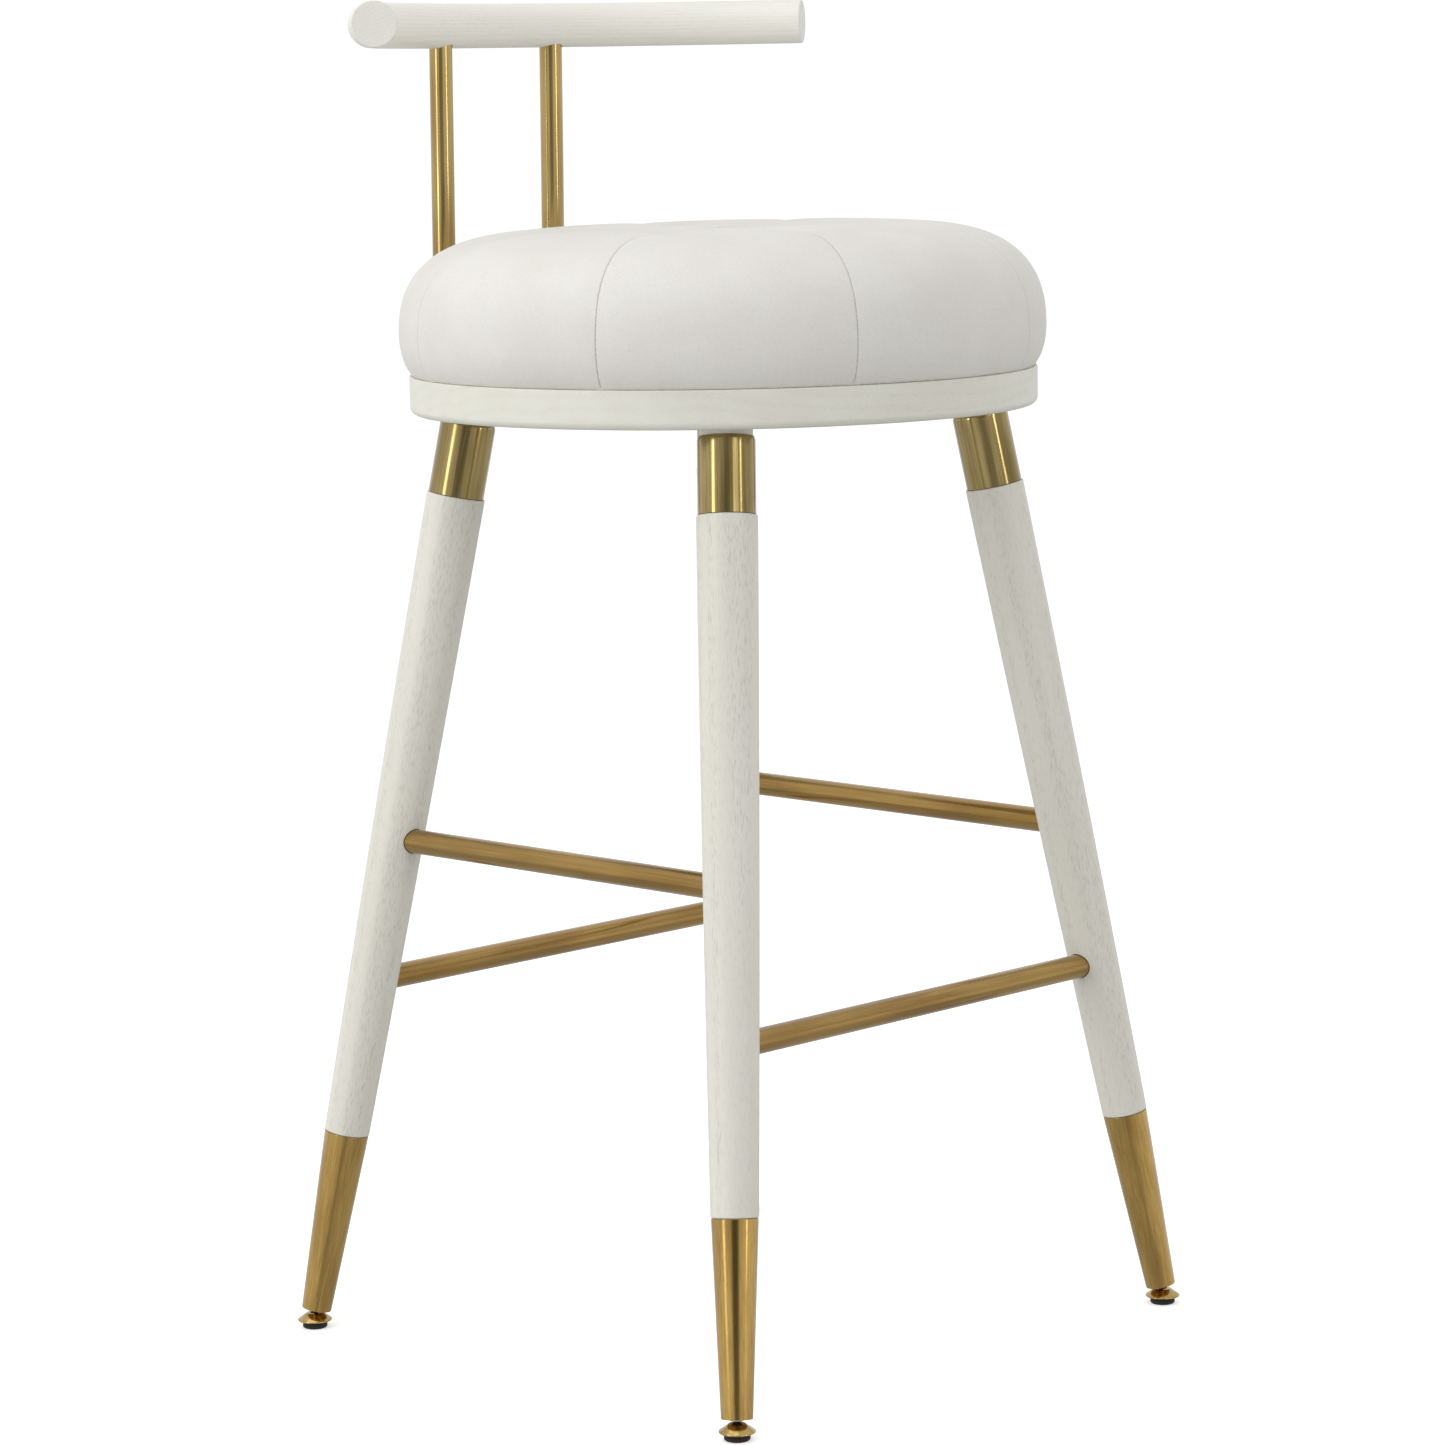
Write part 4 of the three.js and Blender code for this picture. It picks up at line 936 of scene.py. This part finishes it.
plate_low, plate_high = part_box("back_plate")
plate_size = plate_high - plate_low
bpy.ops.object.select_all(action="DESELECT")
bpy.ops.mesh.primitive_plane_add(size=1, location=(0, 0, 0))
plate = bpy.context.object
plate.name = plate.data.name = "brass_back_plate"
plate.scale = (plate_size.x, plate_size.y, 1)
apply_place()
open_mesh()
bpy.ops.mesh.bevel(offset=PLATE_CORNER, segments=12, affect="VERTICES")
bpy.ops.mesh.select_all(action="SELECT")
bpy.ops.mesh.extrude_region_move(TRANSFORM_OT_translate={"value": (0, 0, plate_size.z)})
close_mesh()
soften(plate, PLATE_EDGE)
under_base = Matrix.Translation(Vector(((plate_low.x + plate_high.x) / 2,
                                        (plate_low.y + plate_high.y) / 2, plate_low.z)))
set_in_place(plate, under_base)
mark_run(plate, under_base @ Matrix.Rotation(math.pi / 2, 4, "Y"))
give(plate, "stool", "satin_brass", collar_brass, "back_plate")

# ---- Back posts ----
# Two brass tubes welded to the plate, which lean forward a little against the back of the
# cushion and end inside the bar. They are polished more than the other brass, so they show two
# bright lines from top to bottom.
POST_BORE = 6.7 * MM
POST_SIDES = 64
WELD_SIZE = 1.6 * MM
post_brass = satin_brass("polished_brass_posts", "#BCA264", "#A0854A", 0.10, 0.18, 1.0)
for number, hand in enumerate(("left", "right")):
    node = f"back_post_{hand}"
    low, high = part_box(node)
    middle = (low + high) / 2
    lean = math.atan(post_lean(low, high))
    upright = Matrix.Translation(middle) @ Matrix.Rotation(lean, 4, "X")
    start, end = reach_along(upright, node)
    post = turned_piece(f"brass_post_{hand}", [
        (POST_BORE, start), (POST_RADIUS + WELD_SIZE, start),
        *round_points(POST_RADIUS + WELD_SIZE, start + WELD_SIZE, WELD_SIZE, -110, -180, 5),
        (POST_RADIUS, (start + end) / 2), (POST_RADIUS, end), (POST_BORE, end),
        (POST_BORE, start)], POST_SIDES)
    soften(post, 0)
    set_in_place(post, upright)
    mark_run(post, upright, Vector((0.03, 0.05, 0.4)) * number)
    give(post, "stool", "satin_brass", post_brass, node)

# ---- Back bar ----
# A round ash bar steam-bent to part of a circle and finished like the legs, though its off-white
# is set lighter than theirs as painted light, for the dimmer light that reaches it. Its two ends
# are sawn square and show end grain, with the sharp edge just sanded off. The posts are glued into
# two holes in its underside.
BAR_SIDES = 64
BAR_STEPS = 120
BAR_CURVE_RADIUS = 252 * MM
BAR_HALF_ANGLE = math.radians(55.6)
BAR_END_EDGE = 1.2 * MM
BAR_GRAIN_START = Vector((0.02, 0.05, 2.1))
# Lighter than the legs' paint: painted light making up for the dimmer light on the bar.
bar_ash_painted_lighter = lacquered_ash("lacquered_ash_bar", "#F4F2EA", "#EFEDE3", 0.06, 0.05, 2.6 * MM)
bar_low, bar_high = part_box("back_bar")
bar_radius = (bar_high.z - bar_low.z) / 2
bar_height = (bar_high.z + bar_low.z) / 2
curve_centre = Vector((0, bar_high.y - bar_radius - BAR_CURVE_RADIUS, bar_height))
first_end = curve_centre + Vector((BAR_CURVE_RADIUS * math.sin(BAR_HALF_ANGLE),
                                   BAR_CURVE_RADIUS * math.cos(BAR_HALF_ANGLE), 0))
bpy.ops.object.select_all(action="DESELECT")
bpy.ops.mesh.primitive_circle_add(vertices=BAR_SIDES, radius=bar_radius, location=first_end,
                                  rotation=(0, math.pi / 2, -BAR_HALF_ANGLE))
bar = bpy.context.object
bar.name = bar.data.name = "ash_back_bar"
apply_place()
open_mesh()
bpy.ops.mesh.spin(steps=BAR_STEPS, angle=-2 * BAR_HALF_ANGLE, center=curve_centre,
                  axis=(0, 0, 1))
bpy.ops.mesh.select_all(action="SELECT")
bpy.ops.mesh.remove_doubles(threshold=SAME_POINT)
bpy.ops.mesh.fill_holes(sides=0)
close_mesh()
round_edges(bar, BAR_END_EDGE, sharper_than=40)
for hand in ("left", "right"):
    low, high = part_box(f"back_post_{hand}")
    lean = post_lean(low, high)
    top = Vector(((low.x + high.x) / 2, low.y + POST_RADIUS, high.z + FIT))
    below = top + Vector((0, lean * DRILL_REACH, -DRILL_REACH))
    bore(bar, below, top, POST_RADIUS + FIT)
soften(bar, 0, smooth_to=35)
run = bar.data.attributes.new("run", "FLOAT_VECTOR", "POINT")
for point, mark in zip(bar.data.vertices, run.data):
    spoke = point.co - curve_centre
    out = math.hypot(spoke.x, spoke.y)
    along = math.atan2(spoke.x, spoke.y) * BAR_CURVE_RADIUS
    mark.vector = Vector((out - BAR_CURVE_RADIUS, spoke.z, along)) + BAR_GRAIN_START
give(bar, "stool", "painted_wood", bar_ash_painted_lighter, "back_bar")

# ---- Floor, light and camera ----
# A plain pale floor that runs out of sight, soft panels at the sides and overhead, a wide wash
# from the left that doesn't show in the brass, and a pale room that is dimmer behind the camera.
FLOOR_RADIUS = 12
AIM_HEIGHT = 422.1 * MM
CAMERA_FROM = Vector((-2.2496, -2.1861, 0.8649))
CAMERA_RIGHT = Vector((0.6969, -0.7172, 0))
CAMERA_SIDESTEP = -5.0 * MM
CAMERA_ROLL = math.radians(-1.05)
CAMERA_LENS = 113.9
CAMERA_SENSOR = 36
LIGHT_TARGET_HEIGHT = 0.5
ROOM_DIMMING = 0.36
PATCH_DIMMING = 0.58
ROOM_SEEN_STRENGTH = 1.05

bpy.ops.object.select_all(action="DESELECT")
bpy.ops.mesh.primitive_circle_add(vertices=96, radius=FLOOR_RADIUS, fill_type="NGON")
floor = bpy.context.object
floor.name = floor.data.name = "studio_floor"
floor_paint, floor_tree, floor_shader = new_material(
    "pale_studio_floor", Metallic=0.0, Roughness=0.9, Specular_IOR_Level=0.1,
    Emission_Color=paint("#FFFFFF"), Emission_Strength=0.42)
floor_where = add_node(floor_tree, "TexCoord", {}, output="Object")
floor_mottle = add_node(floor_tree, "TexNoise", {"Scale": 3.0, "Detail": 4.0},
                        {"Vector": floor_where})
floor_tone = add_node(floor_tree, "Mix", {
    "data_type": "RGBA", 6: paint("#FAFAFA"), 7: paint("#F7F7F7")},
    {0: floor_mottle}, output=2)
join(floor_shader, {"Base Color": floor_tone})
floor.data.materials.append(floor_paint)
floor.visible_diffuse = False
floor.visible_glossy = False


def soft_light(name, toward, distance, height, width, tall, power):
    """A large soft panel that faces the stool. Lengths are in metres and power in watts."""
    light = bpy.data.lights.new(name, "AREA")
    light.shape = "RECTANGLE"
    light.size, light.size_y, light.energy = width, tall, power
    lamp = bpy.data.objects.new(name, light)
    target = seat_axis + Vector((0, 0, LIGHT_TARGET_HEIGHT))
    lamp.location = seat_axis + toward.normalized() * distance + Vector((0, 0, height))
    lamp.rotation_euler = (lamp.location - target).to_track_quat("Z", "Y").to_euler()
    lamp.visible_camera = False
    bpy.context.scene.collection.objects.link(lamp)
    return lamp


to_camera = Vector((CAMERA_FROM.x, CAMERA_FROM.y, 0)).normalized()
to_right = CAMERA_RIGHT.normalized()


def bearing(degrees):
    """A level direction, counted in degrees to the right of the camera's own."""
    angle = math.radians(degrees)
    return to_camera * math.cos(angle) + to_right * math.sin(angle)


soft_light("left_panel", bearing(-52), 2.6, 1.2, 0.50, 2.4, 11)
soft_light("right_strip", bearing(35), 2.8, 1.65, 1.0, 1.5, 7)
soft_light("far_right_strip", bearing(56), 2.8, 1.2, 0.25, 2.4, 7)
soft_light("overhead_panel", bearing(-60), 1.0, 2.6, 2.4, 2.4, 13)
wash = soft_light("left_wash", bearing(-66), 2.8, 0.7, 2.4, 1.4, 12)
wash.visible_glossy = False

# The room: pale all round, dimmer behind the camera and on its right, dim underfoot, and with
# one dark patch at the horizon where the camera stands.
world = bpy.data.worlds.new("studio_room")
bpy.context.scene.world = world
world.use_nodes = True
room = world.node_tree
room_light = room.nodes["Background"]
direction = add_node(room, "TexCoord", {})
upness = add_node(room, "SeparateXYZ", {}, {"Vector": direction}, output="Z")
dim_side = (to_camera * 0.85 + to_right * 0.5).normalized()
toward_dim = add_node(room, "VectorMath", {"operation": "DOT_PRODUCT", 1: dim_side},
                      {0: direction}, output="Value")
dim_share = add_node(room, "MapRange", {
    "interpolation_type": "SMOOTHSTEP", "From Min": 0.0, "From Max": 0.8,
    "To Min": 0.0, "To Max": ROOM_DIMMING}, {"Value": toward_dim})
above = add_node(room, "MapRange", {
    "From Min": -0.02, "From Max": 0.05}, {"Value": upness})
low_in_front = to_camera.normalized()
toward_patch = add_node(room, "VectorMath", {
    "operation": "DOT_PRODUCT", 1: low_in_front}, {0: direction}, output="Value")
patch_share = add_node(room, "MapRange", {
    "interpolation_type": "SMOOTHSTEP", "From Min": 0.91, "From Max": 0.99,
    "To Min": 0.0, "To Max": PATCH_DIMMING}, {"Value": toward_patch})
dim_above = add_node(room, "Math", {"operation": "MULTIPLY"},
                     {0: dim_share, 1: above})
dimming = add_node(room, "Math", {"operation": "ADD"},
                   {0: dim_above, 1: patch_share})
underfoot = add_node(room, "MapRange", {
    "interpolation_type": "SMOOTHSTEP", "From Min": -0.40, "From Max": -0.08,
    "To Min": 0.48, "To Max": 0.81}, {"Value": upness})
kept_share = add_node(room, "Math", {"operation": "SUBTRACT", 0: 1.0},
                      {1: dimming})
dimmed = add_node(room, "Math", {"operation": "MULTIPLY"},
                  {0: underfoot, 1: kept_share})
seen = add_node(room, "LightPath", {})
strength = add_node(room, "Mix", {"data_type": "FLOAT", 3: ROOM_SEEN_STRENGTH},
                    {0: seen, 2: dimmed})
room_light.inputs["Color"].default_value = paint("#FFFFFF")
join(room_light, {"Strength": strength})

camera_data = bpy.data.cameras.new("camera")
camera_data.lens = CAMERA_LENS
camera_data.sensor_width = CAMERA_SENSOR
camera_data.clip_end = 100
camera = bpy.data.objects.new("camera", camera_data)
bpy.context.scene.collection.objects.link(camera)
camera.location = seat_axis + CAMERA_FROM
aim = seat_axis + Vector((0, 0, AIM_HEIGHT)) + to_right * CAMERA_SIDESTEP
looking = (camera.location - aim).to_track_quat("Z", "Y").to_matrix().to_4x4()
rolled = looking @ Matrix.Rotation(CAMERA_ROLL, 4, "Z")
camera.rotation_euler = rolled.to_euler()
bpy.context.scene.camera = camera
bpy.context.scene.view_settings.view_transform = "Standard"
